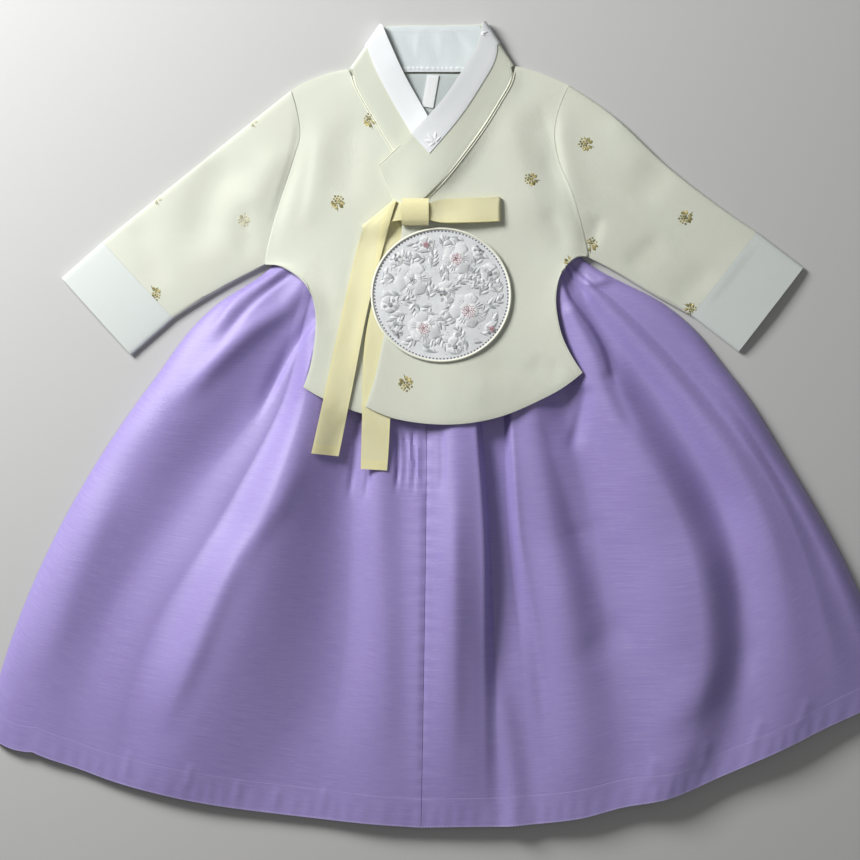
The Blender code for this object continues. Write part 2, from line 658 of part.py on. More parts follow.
def collar(outfit):
    """The band and the white strip over its neck edge, laid in the order that they fold."""
    under = STRIP_CLOTH + SEAM + JACKET_CLOTH
    heap = outfit.heap
    rows = side_rows(0, len(BACK_BAND) - 1)
    back = np.dstack([band_plan(BACK_BAND, rows), np.full((len(rows), len(BAND_ACROSS)), under)])
    heap.add(back.reshape(-1, 3), quads(*back.shape[:2]))

    inner = heap.drape("collar", band_plan(INNER_BAND, rows), band_least(INNER_BAND, rows))
    stacked = inner + (0.0, 0.0, JACKET_CLOTH + SEAM + STRIP_CLOTH)
    heap.add(stacked.reshape(-1, 3), quads(*stacked.shape[:2]))

    rows = side_rows(0, len(OUTER_BAND) - 1)
    outer = heap.drape("collar", band_plan(OUTER_BAND, rows), band_least(OUTER_BAND, rows))

    left_turn = half_turn(back[0, :, :2], back[0, :, 2], inner[-1, :, 2], LEFTWARDS)
    right_turn = half_turn(back[-1, :, :2], back[-1, :, 2], outer[0, :, 2], RIGHTWARDS)
    band = np.stack([*inner, *left_turn[::-1], *back, *right_turn, *outer])
    outfit.sew("collar", band, JACKET_CLOTH, "jacket", flip=True)

    last = len(band) - len(outer) + 2 * STRIP_LAST_ROW + 1
    strip = band + grid_normals(band) * (JACKET_CLOTH + SEAM)
    strip = strip[:last, :STRIP_COLUMNS]
    outfit.sew("neck_strip", strip, STRIP_CLOTH, "strip", flip=True)


def collar_facing(outfit):
    """The white facing of the band's inside, seen behind the neck."""
    rows = np.linspace(*FACING_ENDS, FACING_GRID[0])
    table = through(np.array(BACK_BAND)[:, :4], rows)
    across = np.linspace(FACING_INSET, 1 - FACING_INSET, FACING_GRID[1])[None, :, None]
    plan = mix(table[:, None, :2], table[:, None, 2:], across)
    low = STRIP_CLOTH + SEAM + JACKET_CLOTH + SEAM
    grid = np.dstack([plan, np.full(plan.shape[:2], low)])
    outfit.sew("collar_facing", grid, LINING_CLOTH, "strip")


def strip_plan(table, rows, columns):
    """Plan points of a strip, evenly spaced between the two ends of each of the table's rows."""
    found = through(table, np.linspace(0, len(table) - 1, rows))
    return mix(found[:, None, :2], found[:, None, 2:], np.linspace(0, 1, columns)[None, :, None])


def back_lining(outfit):
    grid = outfit.heap.drape("lining", strip_plan(BACK_LINING, *LINING_GRID))
    outfit.sew("back_lining", grid, LINING_CLOTH, "lining", flip=True)


def label(outfit):
    grid = outfit.heap.drape("lining", strip_plan(LABEL, *LABEL_GRID))
    outfit.sew("label", grid, LINING_CLOTH, "label", flip=True)


def short_tail(outfit):
    grid = outfit.heap.drape("short tail", strip_plan(SHORT_TAIL, SHORT_TAIL_ROWS, RIBBON_COLUMNS))
    outfit.sew("ribbon_tail_short", grid, RIBBON_CLOTH, "ribbon", flip=True)


def knot_base(outfit):
    """The height that the knot rests at."""
    x0, x1, y0, y1 = KNOT
    places = [(x, y) for x in np.linspace(x0, x1, KNOT_ROWS) for y in np.linspace(y0, y1, KNOT_ROWS)]
    return max(outfit.heap.top_within(x, y, KNOT_REACH) for x, y in places) + SEAM


def ribbon_knot(outfit, base):
    """A flat tube of ribbon. The loop passes out of it to the right and the long tail to the
    left."""
    x0, x1, y0, y1 = KNOT
    upper = np.array([(x0, y1), ((x0 + x1) / 2, y1), (x1, y1)])
    lower = np.array([(x0, y0), ((x0 + x1) / 2, y0), (x1, y0)])
    inner = np.linspace(0.0, 1.0, KNOT_ROWS)[1:-1, None]
    middle = [mix(a, b, inner) for a, b in zip(upper, lower)]
    heights = [(KNOT_HEIGHT, KNOT_HEIGHT)] * len(upper)
    tube(outfit, "ribbon_knot", upper, lower, "ribbon", heights, base, middle)


def tucked(outfit, kind, plan, base, rows_in):
    """Lays the flat end of a ribbon: its first rows are inside the knot that rests at base."""
    least = np.zeros(plan.shape[:2])
    least[:rows_in] = base + JACKET_CLOTH + SEAM
    held = least > 0
    return outfit.heap.drape(kind, plan, least, held)


def ribbon_loop(outfit, base):
    """A loop of ribbon, both its plies tucked into the knot's right end."""
    near_x, near_low, near_high = LOOP_NEAR
    far_x, far_low, far_high = LOOP_FAR
    plan = []
    for share, squeeze in LOOP_STATIONS:
        x = mix(near_x - TUCK, far_x, share)
        low = mix(near_low, far_low, share) + squeeze
        high = mix(near_high, far_high, share) - squeeze
        plan.append([(x, y) for y in np.linspace(low, high, LOOP_COLUMNS)])
    plan = np.array(plan)
    bottom = tucked(outfit, "loop", plan, base, LOOP_ROWS_IN_KNOT)
    swell = np.interp(range(len(plan)), *np.transpose(LOOP_SWELL))
    top = bottom.copy()
    top[..., 2] += swell[:, None]
    turn = half_turn(bottom[-1, :, :2], bottom[-1, :, 2], top[-1, :, 2], RIGHTWARDS)
    loop = np.stack([*bottom, *turn, *top[::-1]])
    outfit.sew("ribbon_loop", loop, RIBBON_CLOTH, "ribbon", outward=-1.0)


def ribbon_tail_long(outfit, base):
    """The long tail comes out of the knot's left end, folds over and hangs down."""
    columns = LONG_TAIL_COLUMNS
    rows, level = LONG_TAIL_START
    low = tucked(outfit, "tail's start", strip_plan(LONG_TAIL_UNDER, rows, columns), base, level)
    outfit.heap.add((low + (0, 0, RIBBON_CLOTH)).reshape(-1, 3), quads(*low.shape[:2]))
    over = strip_plan(LONG_TAIL_OVER, LONG_TAIL_ROWS, columns)
    high = outfit.heap.drape("long tail", over) + (0.0, 0.0, RIBBON_CLOTH)
    fold = half_turn(low[-1, :, :2], low[-1, :, 2], high[0, :, 2], LEFTWARDS)
    tail = np.stack([*low, *fold, *high])
    outfit.sew("ribbon_tail_long", tail, RIBBON_CLOTH, "ribbon", outward=-1.0, flip=True)


def badge(outfit):
    """A round patch on the outer front, which runs past its free edge."""
    plan = []
    for ring in BADGE_RINGS:
        plan.append([(BADGE_CENTRE[0] + ring * BADGE_RADII[0] * math.cos(math.tau * k / BADGE_SPOKES),
                      BADGE_CENTRE[1] + ring * BADGE_RADII[1] * math.sin(math.tau * k / BADGE_SPOKES))
                     for k in range(BADGE_SPOKES)])
    grid = outfit.heap.drape("badge", np.array(plan))
    height = grid[..., 2]
    for _ in range(BADGE_ROUNDS):
        around = (np.roll(height, 1, 1) + np.roll(height, -1, 1)) / 2
        height = np.maximum(grid[..., 2], around)
    grid[..., 2] = height
    centre = (*BADGE_CENTRE, outfit.heap.top_within(*BADGE_CENTRE, DRAPING["badge"][0]) + SEAM)
    points = np.vstack([grid.reshape(-1, 3), [centre]])
    faces = quads(len(plan), BADGE_SPOKES, ring=True)
    hub = len(points) - 1
    faces = [face[::-1] for face in faces]
    faces += [(hub, k, (k + 1) % BADGE_SPOKES) for k in range(BADGE_SPOKES)]
    outfit.add_piece("badge", points, faces, BADGE_CLOTH, "badge", 1.0)


def main():
    outfit = Outfit()
    jacket_back(outfit)
    skirt_back(outfit)
    back_lining(outfit)
    label(outfit)
    waistband(outfit)
    skirt_front(outfit, "skirt_front_left", LEFT_FOLDS)
    skirt_front(outfit, "skirt_front_right", RIGHT_FOLDS)
    front_inner(outfit)
    short_tail(outfit)
    front_outer(outfit)
    collar(outfit)
    collar_facing(outfit)
    base = knot_base(outfit)
    ribbon_tail_long(outfit, base)
    badge(outfit)
    ribbon_knot(outfit, base)
    ribbon_loop(outfit, base)
    sleeve(outfit, "sleeve_left", "cuff_left", 0, LEFT_SLEEVE, -1)
    sleeve(outfit, "sleeve_right", "cuff_right", 1, RIGHT_SLEEVE, 1)


main()
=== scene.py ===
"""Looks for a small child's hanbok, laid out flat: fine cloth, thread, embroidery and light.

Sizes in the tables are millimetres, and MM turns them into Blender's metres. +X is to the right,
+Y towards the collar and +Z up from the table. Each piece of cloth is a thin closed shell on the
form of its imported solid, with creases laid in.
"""
import json
import math

import bpy
import numpy as np
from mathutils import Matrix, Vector
from mathutils.bvhtree import BVHTree

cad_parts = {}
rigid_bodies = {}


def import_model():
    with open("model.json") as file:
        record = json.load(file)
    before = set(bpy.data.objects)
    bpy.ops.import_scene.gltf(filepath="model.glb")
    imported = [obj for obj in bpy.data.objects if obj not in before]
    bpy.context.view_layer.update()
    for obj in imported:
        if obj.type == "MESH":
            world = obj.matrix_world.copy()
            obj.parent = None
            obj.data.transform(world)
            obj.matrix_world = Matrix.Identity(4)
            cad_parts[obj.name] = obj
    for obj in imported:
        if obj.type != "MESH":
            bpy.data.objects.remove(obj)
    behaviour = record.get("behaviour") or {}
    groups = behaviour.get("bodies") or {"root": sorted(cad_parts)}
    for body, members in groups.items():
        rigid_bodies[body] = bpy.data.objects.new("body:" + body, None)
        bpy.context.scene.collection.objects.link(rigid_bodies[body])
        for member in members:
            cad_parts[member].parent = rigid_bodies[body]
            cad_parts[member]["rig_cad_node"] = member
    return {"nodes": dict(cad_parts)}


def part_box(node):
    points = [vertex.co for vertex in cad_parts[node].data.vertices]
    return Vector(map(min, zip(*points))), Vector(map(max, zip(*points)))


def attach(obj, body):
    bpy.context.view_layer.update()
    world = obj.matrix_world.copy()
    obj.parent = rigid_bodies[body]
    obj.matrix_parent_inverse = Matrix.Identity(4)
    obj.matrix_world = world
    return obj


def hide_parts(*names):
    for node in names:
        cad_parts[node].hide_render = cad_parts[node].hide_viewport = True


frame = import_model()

for stray in [thing for thing in bpy.data.objects if "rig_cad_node" not in thing and thing.type != "EMPTY"]:
    bpy.data.objects.remove(stray)
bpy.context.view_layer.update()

MM = 0.001

# Thickness of each cloth
SHELL = 0.8
PLATE = 1.2
BAND = 1.2
STRIP = 0.5
RIBBON = 0.8
# Gaps between cloths that lie or are sewn against each other
SEAM = 0.3
STRIP_GAP = 0.25
EDGE_SEAM = 0.1
BAND_SEAM = 0.5
JACKET_CLEAR = 0.35
# How far a cloth's border is rolled down
ROLL = 0.35
# The angle in degrees over which an edge of something sewn on stays sharp
TRIM_SHARP = 60.0
# Width of a grid's cells
SPACING = 2.4
JACKET_SPACING = 1.9
# Heights between which a layer begins to take creases
CREASE_LOW = 1.3
CREASE_FULL = 4.0
# The shares of a crease's length over which it comes up and dies away
CREASE_START = 0.3
GATHER_START = 0.15
CREASE_END = 0.35

# Jacket: where its two sides run, from shoulder to hem corner. Rows 0 to 5 are the armhole.
JACKET_SIDES = (
    # left x, left y, right x, right y
    (-138.9, 306.4, 116.6, 311.0),
    (-130.6, 269.6, 104.0, 273.2),
    (-135.7, 246.6, 107.6, 242.0),
    (-150.0, 201.5, 121.4, 207.9),
    (-161.0, 161.0, 132.5, 165.6),
    (-161.5, 146.0, 131.8, 153.9),
    (-145.4, 144.9, 120.5, 152.4),
    (-127.9, 133.4, 109.9, 139.8),
    (-119.1, 116.8, 104.9, 122.4),
    (-115.5, 93.8, 104.9, 103.0),
    (-118.7, 60.7, 111.3, 76.4),
    (-126.7, 33.5, 128.2, 46.9),
)
UNDERARM_ROW = 5
HEM_ROW = 11
ROW_STEP = 0.1
BACK_ROW_STEP = 0.2
BACK_COLUMNS = 50
FRONT_ROUNDS = 34
# How far inside its edge a front looks for the band above it, and over how many rows that is evened
BAND_PROBE = 2.0
RISE_REACH = 4
LEFT_SHOULDER = ((-138.9, 306.4), (-120.5, 316.5), (-102.1, 322.9), (-85.5, 326.2))
RIGHT_SHOULDER = ((66.7, 328.9), (82.8, 324.8), (100.3, 318.3), (116.6, 311.0))
BACK_NECK = ((-60.0, 323.2), (-9.2, 322.4), (41.0, 323.2))
BACK_HEM = ((-126.7, 33.5), (-85.6, 13.8), (-45.1, 2.8), (-0.9, -0.5), (49.2, 5.5), (86.2, 20.2),
            (128.2, 46.9))
INNER_HEM = ((-126.7, 33.5), (-108.8, 23.2), (-86.5, 13.8), (-71.8, 9.2), (-20.2, 2.8), (23.9, 2.8))
OUTER_HEM = ((-69.9, 16.0), (-45.1, 5.5), (-20.6, 0.9), (8.3, -0.5), (49.2, 5.5), (86.2, 20.2),
             (110.9, 33.5), (128.2, 46.9))
INNER_FREE_EDGE = ((-1.8, 185.8), (3.7, 171.1), (8.3, 155.5), (12.9, 132.5), (17.5, 91.1), (21.2, 49.7),
                   (23.9, 2.8))
OUTER_FREE_EDGE = ((-37.7, 169.3), (-44.2, 127.9), (-52.4, 86.0), (-59.8, 48.8), (-69.9, 16.0))

# Collar band: each row crosses it from the neck's edge to the seam.
INNER_BAND = ((9.2, 242.9, -20.2, 215.3), (-12.9, 282.7, -45.1, 253.4), (-33.1, 318.3, -65.7, 288.0),
              (-46.0, 345.9, -77.4, 309.1), (-54.0, 365.2, -82.0, 325.0))
BACK_BAND = ((-54.0, 365.2, -82.0, 325.0), (-33.1, 366.4, -46.0, 323.8), (-9.2, 366.3, -9.2, 323.3),
             (14.7, 366.9, 27.6, 323.8), (36.4, 367.3, 63.2, 327.4))
OUTER_BAND = ((36.4, 367.3, 63.2, 327.4), (32.2, 347.8, 62.2, 315.0), (18.8, 324.9, 51.7, 296.2),
              (-0.9, 296.2, 34.0, 268.0), (-28.1, 266.2, 5.0, 229.6), (-42.3, 252.5, -16.4, 207.0),
              (-58.6, 237.5, -37.3, 186.8))
BAND_COLUMNS = 19
BAND_STEP = 0.1
BAND_ROUNDS = 14
BACK_BAND_HEIGHT = 2.5
# How far above the back's band a wall has to be to count as a front's
BAND_CLEAR = 0.5
# The rows over which a band's neck edge comes up, and how far it stands up
INNER_RISE = (1.2, 2.8, 3.4)
OUTER_RISE = (5.0, 2.8, 6.0)
# The rows over which a front stops being sewn to its band
INNER_SEWN = (2.4, 2.9)
OUTER_SEWN = (4.2, 5.1)
BAND_ROLL, STRIP_ROLL = 0.25, 0.2
SEAM_DROP = 1.1
SEAM_FADE = 9.0
STRIP_SHARE = 0.52
STRIP_LAST_ROW = 4
FACING_ENDS = (0.1, 3.9)
FACING_HEIGHT = 3.8
FACING_DENT = 0.22

# Sleeves: upper and lower edges from armhole to cuff seam, then the cuff's outer edge.
LEFT_SLEEVE = {
    "upper": ((-138.9, 306.4), (-225.0, 237.5), (-311.9, 167.4)),
    "lower": ((-161.5, 146.0), (-200.6, 125.1), (-246.6, 96.6)),
    "cuff": ((-349.6, 134.3), (-285.2, 62.9)),
}
RIGHT_SLEEVE = {
    "upper": ((116.6, 311.0), (150.0, 288.9), (209.8, 234.6), (288.9, 176.6)),
    "lower": ((131.8, 153.9), (158.8, 139.8), (188.6, 121.9), (229.1, 99.4)),
    "cuff": ((332.1, 143.9), (272.3, 66.2)),
}
SLEEVE_STATIONS = 70
CUFF_STATIONS = 18
ARMHOLE_STEP = 0.08
TUBE_EDGE = 2.1
EDGE_TURNS = 6
TUBE_ROWS = 12
FOLD_ROWS = 11
FULLNESS = 0.6
SHOULDER_HEIGHT = 4.2
SLEEVE_HEIGHT = 6.0
CUFF_HEIGHT = 6.2

# Skirt: fold lines from the waistband to the hem. Heights are of the cloth's underside.
WAIST_Y = 160.1
# The skirt lies under the jacket above this y
JACKET_HEM_Y = -3.0
SKIRT_LENGTH = 530.0
SKIRT_CLOTH = 1.5
SKIRT_ROWS = 205
LEAST_CELLS = 4
# How far apart the rows are at the waist, as a share of even ones
ROWS_AT_WAIST = 0.72
# Where each front's folds start to calm towards the hem, and over what length
CALMED = {"skirt_front_left": (-255.0, 90.0), "skirt_front_right": (-125.0, 130.0)}
CALM_ROUNDS = 60
CALM_MOST = 0.8
# How near the seam, and how low, the folds are left as they are
CALM_SEAM = 30.0
CALM_HEIGHT = 6.0
# Heights of the seam's puckers, the hem's ripple and the cloth's unevenness
PUCKER, RIPPLE, DRIFT = 0.3, 0.22, 0.35
# How far up from the hem the ripple is at its most
HEM_MIDDLE = 9.0
LENGTHS = (0.0, 0.035, 0.12, 0.28, 0.48, 0.72, 1.0)
LEFT_FOLDS = (
    # name, hem y, x at each length, height at each length
    ("side", -276.0, (-148, -155, -207.5, -265.4, -324.5, -377.8, -417), (2.2, 1, 0, 0, 0, 0, 0)),
    ("ridge", -301.0, (-142, -148, -176, -234, -290, -341, -376), (3.4, 3.6, 11.5, 18.5, 15.5, 12.5, 6.6)),
    ("valley", -317.0, (-118, -122, -135, -161, -236, -306, -332), (3.4, 3.9, 5, 5.2, 8.5, 8, 5)),
    ("shelf", -328.5, (-110, -114, -125, -146, -197, -268, -300), (3.8, 4.6, 6.6, 7.2, 13, 11, 6)),
    ("ridge", -341.5, (-92, -98, -114, -125, -157, -197, -250), (4.6, 6.2, 12, 21, 31.5, 29, 8)),
    ("valley", -360.6, (-66, -67.7, -71.8, -79.1, -85, -92, -125), (3.6, 4.4, 6.2, 6.8, 6.8, 6.4, 6.2)),
    ("ridge", -367.1, (-43, -44.4, -47.8, -53.4, -54, -50, -60), (4.4, 5.3, 8.2, 13.8, 16.5, 16, 9.9)),
    ("valley", -368.9, (-29, -29.9, -32.2, -35.9, -36, -34, -34), (3.6, 4.4, 6.2, 9.5, 15, 14.8, 9)),
    ("seam", -369.8, (-12.2, -12.5, -13.1, -14, -14.9, -16.8, -19.5), (4.2, 5.2, 7.5, 11.5, 17, 16.5, 9)),
)
RIGHT_FOLDS = (
    # name, hem y, x at each length, height at each length
    ("seam", -369.8, (-11.8, -12.1, -12.7, -13.6, -14.5, -16.4, -19.1), (4.2, 5.2, 7.5, 11.5, 17, 16.5, 9)),
    ("ridge", -368.9, (9, 9.3, 10.1, 12.9, 14.7, 15.6, 18.4), (4.6, 6, 10.5, 18.8, 27, 25, 11)),
    ("pleat lip", -368.9, (25, 25.5, 26.7, 29.4, 36.8, 38, 39), (4, 5.3, 9.4, 18.1, 23.6, 19, 11)),
    ("pleat floor", -368.9, (36, 35, 34.5, 35.5, 43, 48.5, 53), (3.4, 3.7, 4.3, 4.2, 4.2, 5, 9.5)),
    ("pleat floor", -366.9, (50, 51.2, 54.1, 57, 60.5, 73, 79), (3.6, 4, 4.8, 4.6, 4.8, 5.6, 10)),
    ("pleat lip", -364.6, (57, 58, 60.5, 64.2, 72, 92, 102), (4.2, 5.3, 8.8, 15, 19.6, 16.9, 12.7)),
    ("ridge", -361.0, (72, 73.8, 78.1, 82.8, 98, 116, 127), (4.6, 6, 10.5, 18.1, 23.6, 21.6, 14.3)),
    ("valley", -351.4, (86, 89.3, 97.2, 114.1, 138, 156.4, 163.8), (3.6, 4.4, 6.2, 6.4, 6.8, 8.9, 12.8)),
    ("ridge", -343.2, (96, 103.1, 120.4, 156.4, 211.6, 237.4, 205), (4.6, 6.8, 13.2, 22.5, 29.7, 29.7, 16.5)),
    ("valley", -322.9, (102, 113, 139.7, 196, 252.1, 276, 255), (3.6, 4.7, 7.1, 7.6, 7.6, 7.6, 12.3)),
    ("ridge", -299.9, (107, 117, 154, 219, 281.5, 315.6, 307.3), (4.4, 6.3, 12.1, 19, 22.5, 21.5, 16)),
    ("gather", -276.0, (111, 122, 165, 232, 296, 340, 356), (3.2, 3.8, 8.6, 14, 18.5, 18.5, 12.5)),
    ("ridge", -259.4, (114, 128, 180, 246, 304, 358, 393.6), (3.4, 3.4, 8.5, 13, 15.5, 15.5, 9.5)),
    ("side", -248.4, (118, 135, 200.5, 264, 317.3, 372.5, 417), (2.2, 1, 0, 0, 0, 0, 0)),
)
BACK_INSETS = (9.0, 10.0, 14.0, 6.0, 4.0, 4.0, 4.0)
BACK_HEM_LIFT = 8.0
SKIRT_BACK_ROWS, SKIRT_BACK_COLUMNS = 70, 90
WAISTBAND = ((-138.0, 198.0, 108.0, 198.0), (-146.0, 160.8, 116.0, 160.8))
WAISTBAND_HEIGHT = 3.4
WAISTBAND_STATIONS = 60
# The shares of its length over which the waistband sinks towards its right end, and how far
WAISTBAND_SINKS = (0.82, 0.94)
WAISTBAND_FALL = 1.5

# Lining, label and ribbons: both ends of each row
BACK_LINING = ((-50.0, 321.6, 33.0, 321.6), (-44.0, 296.0, 26.0, 296.0), (-32.0, 266.0, 8.0, 266.0))
LABEL = ((-13.4, 321.2, -2.8, 320.4), (-18.6, 291.8, -8.2, 290.2))
SHORT_TAIL = ((-52.0, 189.0, -28.0, 186.0), (-59.6, 134.0, -34.8, 131.0), (-70.8, 73.6, -46.0, 73.6),
              (-73.0, 9.2, -47.3, 8.6), (-74.3, -41.1, -50.3, -42.5))
LONG_TAIL_UNDER = ((-31.0, 186.4, -31.0, 201.2), (-45.0, 185.2, -37.0, 202.4), (-72.0, 179.6, -42.0, 203.6))
LONG_TAIL_OVER = ((-72.0, 179.6, -42.0, 203.6), (-80.5, 150.5, -53.4, 163.8), (-90.3, 106.4, -67.9, 106.0),
                  (-105.0, 38.0, -81.0, 38.0), (-119.1, -26.9, -94.6, -29.5))
LOOP = ((-18.0, 186.2, 201.6), (-12.2, 186.3, 201.9), (-0.9, 184.2, 205.1), (12.8, 183.9, 206.3),
        (26.5, 184.3, 206.9), (40.2, 185.0, 207.4), (50.6, 185.6, 207.8))
KNOT = (-37.0, -12.3, 181.2, 206.4)
KNOT_HEIGHT = 7.0
RIBBON_COLUMNS = 13
LABEL_ROLL = 0.15

# Badge
BADGE_CENTRE = (-0.7, 117.9)
BADGE_RADII = (64.6, 62.0)
BADGE_ROUNDS = 14

# Creases: points, width on the left and on the right as it runs, and height at its deepest
JACKET_CREASES = (
    # Right half of the body, and along its armhole
    (((53.4, 293.5), (67.2, 252.1), (79.1, 210.7), (94.8, 169.3)), 14, 24, 1.9),
    (((85.6, 298.1), (98, 260), (105, 234), (110, 209)), 8, 17, -1.8),
    (((95.2, 256.8), (100.6, 231.4), (113.4, 198.6)), 6, 8, -0.6),
    (((94.8, 200.8), (105.7, 177.2), (113, 153.5)), 7, 9, -0.9),
    (((78.4, 60.8), (94.8, 49.9), (114.8, 48)), 9, 12, -0.8),
    (((20, 40), (52, 34), (80, 42)), 12, 16, 0.6),
    # Right sleeve
    (((114.6, 303), (109.6, 270.5), (112.4, 242.9), (122.3, 206.1), (132, 173.9)), 13, 3.5, 1.2),
    (((145.2, 193.2), (140.6, 175), (135.2, 160.4)), 6, 9, -1.5),
    (((209.7, 240), (194, 222), (176, 200)), 13, 18, -1.1),
    (((155.2, 289.5), (169.7, 256.8), (191.5, 227.7)), 16, 14, 0.9),
    (((168, 138), (184, 156), (206, 174)), 9, 14, -1),
    (((248, 150), (230, 126), (206, 112)), 12, 14, -0.9),
    (((290, 171), (262, 135), (235, 103)), 3, 12, 0.5),
    # Left sleeve
    (((-188, 252), (-206, 222), (-218, 186), (-214, 148)), 18, 23, -3.8),
    (((-146.3, 261.3), (-165.6, 219.9), (-185.8, 178.5)), 14, 14, 1.7),
    (((-174, 210), (-180.3, 173.9), (-172, 146)), 8, 12, -1.4),
    (((-284, 192), (-268.6, 155.5), (-252, 120)), 12, 14, -1.1),
    # Left armhole, and the left half of the body
    (((-138, 303), (-131.2, 269.6), (-136.3, 246.6), (-150.6, 201.5), (-161, 163)), 8, 3.5, -1.2),
    (((-112, 285), (-114.1, 246), (-119.6, 208), (-129, 172)), 13, 7, 1.3),
    (((-82.8, 288.9), (-84.6, 242.9), (-89.2, 196.9)), 12, 16, -1.3),
    (((-118, 155.4), (-105.3, 115.3), (-107.1, 75.3)), 9, 12, -0.9),
)
NECK_CREASES = (
    (((-50.6, 363.4), (-33.1, 329.4)), 1.6, 1.2, -0.45),
    (((9.2, 362.5), (26, 341)), 1.6, 2.4, -0.4),
    (((-22, 361), (-24, 333)), 3, 2, 0.35),
    (((-2, 362), (0, 334)), 2.4, 3.4, 0.3),
)
SKIRT_FOLDS = (
    # Broad folds of the left half
    (((-126, 22), (-149, -70), (-186, -116), (-209, -162), (-227, -208), (-250, -254),
      (-269, -291)), 12, 20, 3),
    (((-170, -80), (-206, -160), (-232, -220), (-268, -300)), 14, 30, 3.8),
    (((-287, -33), (-317, -97), (-342, -153), (-362, -208), (-379, -254)), 14, 20, 2.2),
    # The bulge beside the seam, and the fold on the pleat's right
    (((12, -42), (9, -125), (9, -208), (9, -291), (7, -346)), 9, 32, 3),
    (((70, -20), (78, -130), (92, -240), (100, -330)), 34, 10, -6),
    # The curved fold of the right half, its hollow, and the right side's rim
    (((236, -60), (252, -130), (257, -180), (247, -224), (216, -264), (180, -290)),
     19, 21, 2.8),
    (((180, -40), (215, -120), (234, -190), (234, -235), (212, -290)), 25, 29, -3),
    (((262, -60), (278, -120), (287, -180), (285, -230), (270, -300)), 22, 24, 3.4),
    (((232, 60), (270, -10), (306, -85), (340, -170), (372, -258)), 14, 30, 3.2),
    # The hollow that runs down from under the jacket, and the pleat's floor
    (((80, 40), (90, 5), (100, -35), (112, -75), (124, -120), (132, -170)),
     14, 27, -5.5),
    (((50, -205), (56, -260), (62, -300), (66, -440)), 12, 11, 4),
)
SKIRT_CREASES = (
    # The fan of gathers under the left arm
    (((-124, 156), (-150.5, 139), (-184.5, 118), (-209.5, 87), (-224, 70)), 8, 4, 3),
    (((-122, 150), (-146, 133), (-174, 110), (-194, 86), (-212, 60)), 3, 5, -1.8),
    (((-114, 152), (-124, 133), (-144, 106), (-172, 88), (-197, 66), (-222, 40),
      (-248, 8)), 10, 10, 4.2),
    (((-95, 126), (-108, 106), (-124, 87), (-137, 68), (-148, 48), (-160, 24),
      (-175, -4)), 3.5, 8, -3.9),
    (((-94, 118), (-100, 100), (-110, 78), (-122, 50), (-137, 14)), 3.5, 5, 2.2),
    (((-96, 104), (-103, 86), (-111, 66), (-120, 40)), 3.5, 3, -1.7),
    (((-107, 80), (-112, 58), (-118, 30)), 3, 4, 1.4),
    # Small gathers that show below the jacket's hem
    (((-43.4, -3.1), (-40.4, -38.5), (-43.4, -66.7)), 2.2, 2, -2.4),
    (((-35.3, -3.1), (-32.8, -35.9), (-35.8, -63.7)), 2.2, 2.2, -1.7),
    (((-27.7, -1.9), (-25.2, -33.4), (-27.5, -68.7)), 2.2, 2, -2.6),
    (((-19.4, -3.1), (-17.9, -41), (-20.7, -73.8)), 2.2, 2.6, -1.6),
    (((-71.1, -3.1), (-67.3, -43.5), (-72.4, -76.3)), 3, 3, -1.9),
    (((-78.7, 1.9), (-81.2, -35.9), (-86.3, -73.8)), 3, 3, -1.6),
    (((-1, -4), (0.5, -40), (-1.5, -70)), 3, 3, -1.2),
    # Gathers and dents of the right half
    (((104, 150), (110.1, 138.6), (119.3, 115.6), (134.7, 95.7), (148.5, 71.2), (157.7, 40.5),
      (163.8, 25.2)), 12, 2.5, -3.6),
    (((120, 152), (127, 129.4), (134.7, 112.6)), 6, 3, -1.8),
    (((130, 129.4), (145.4, 130), (157.7, 137.1)), 8, 3, 1.8),
    (((112, 112), (125, 90), (140, 64), (149, 40)), 7, 7, 1.6),
    (((130.2, 37.2), (126.4, 6.9), (115.1, -30.9)), 8, 5, -2.2),
    (((150.4, 52.3), (163, 17), (180.7, -13.2)), 6, 7, -1.8),
    (((128, -84), (138, -128), (138, -156), (126, -192)), 17, 15, -1),
    (((170, -180), (148, -198), (122, -228)), 17, 15, -1.3),
    (((276, -190), (272, -222), (252, -258), (222, -282), (188, -300)), 14, 14, -1.3),
    # Short ripples above the hem
    (((292, -268), (282.5, -300)), 5, 4, 0.6),
    (((335.1, -250), (325, -280)), 5, 4, 0.5),
    (((194, -304), (190.8, -332)), 5.5, 4.5, 0.6),
    (((243, -288), (236.6, -321)), 5, 5, 0.6),
    (((-230.1, -311.8), (-232.6, -337)), 3, 3.5, 0.7),
    (((-185.9, -326.9), (-188.4, -347.1)), 3, 3, 0.5),
    (((-150.6, -334.5), (-153.1, -352.2)), 3, 3, 0.5),
    (((-107.7, -332), (-106.4, -354.7)), 3, 3, 0.6),
    (((-285.6, -299.2), (-291.9, -326.9)), 3.5, 3.5, 0.5),
    # The groove of the seam
    (((-13.4, 40), (-14.9, -76), (-16.6, -195), (-19.3, -368)), 2.6, 2.6, -1.5),
)


# ---- Curves and grids -------------------------------------------------------------------------


def mix(a, b, share):
    return a + (b - a) * share


def unit(direction):
    """Directions of length one. The last axis holds each one's parts."""
    return direction / np.linalg.norm(direction, axis=-1, keepdims=True)


def ease(t):
    t = np.clip(t, 0.0, 1.0)
    return t * t * (3 - 2 * t)


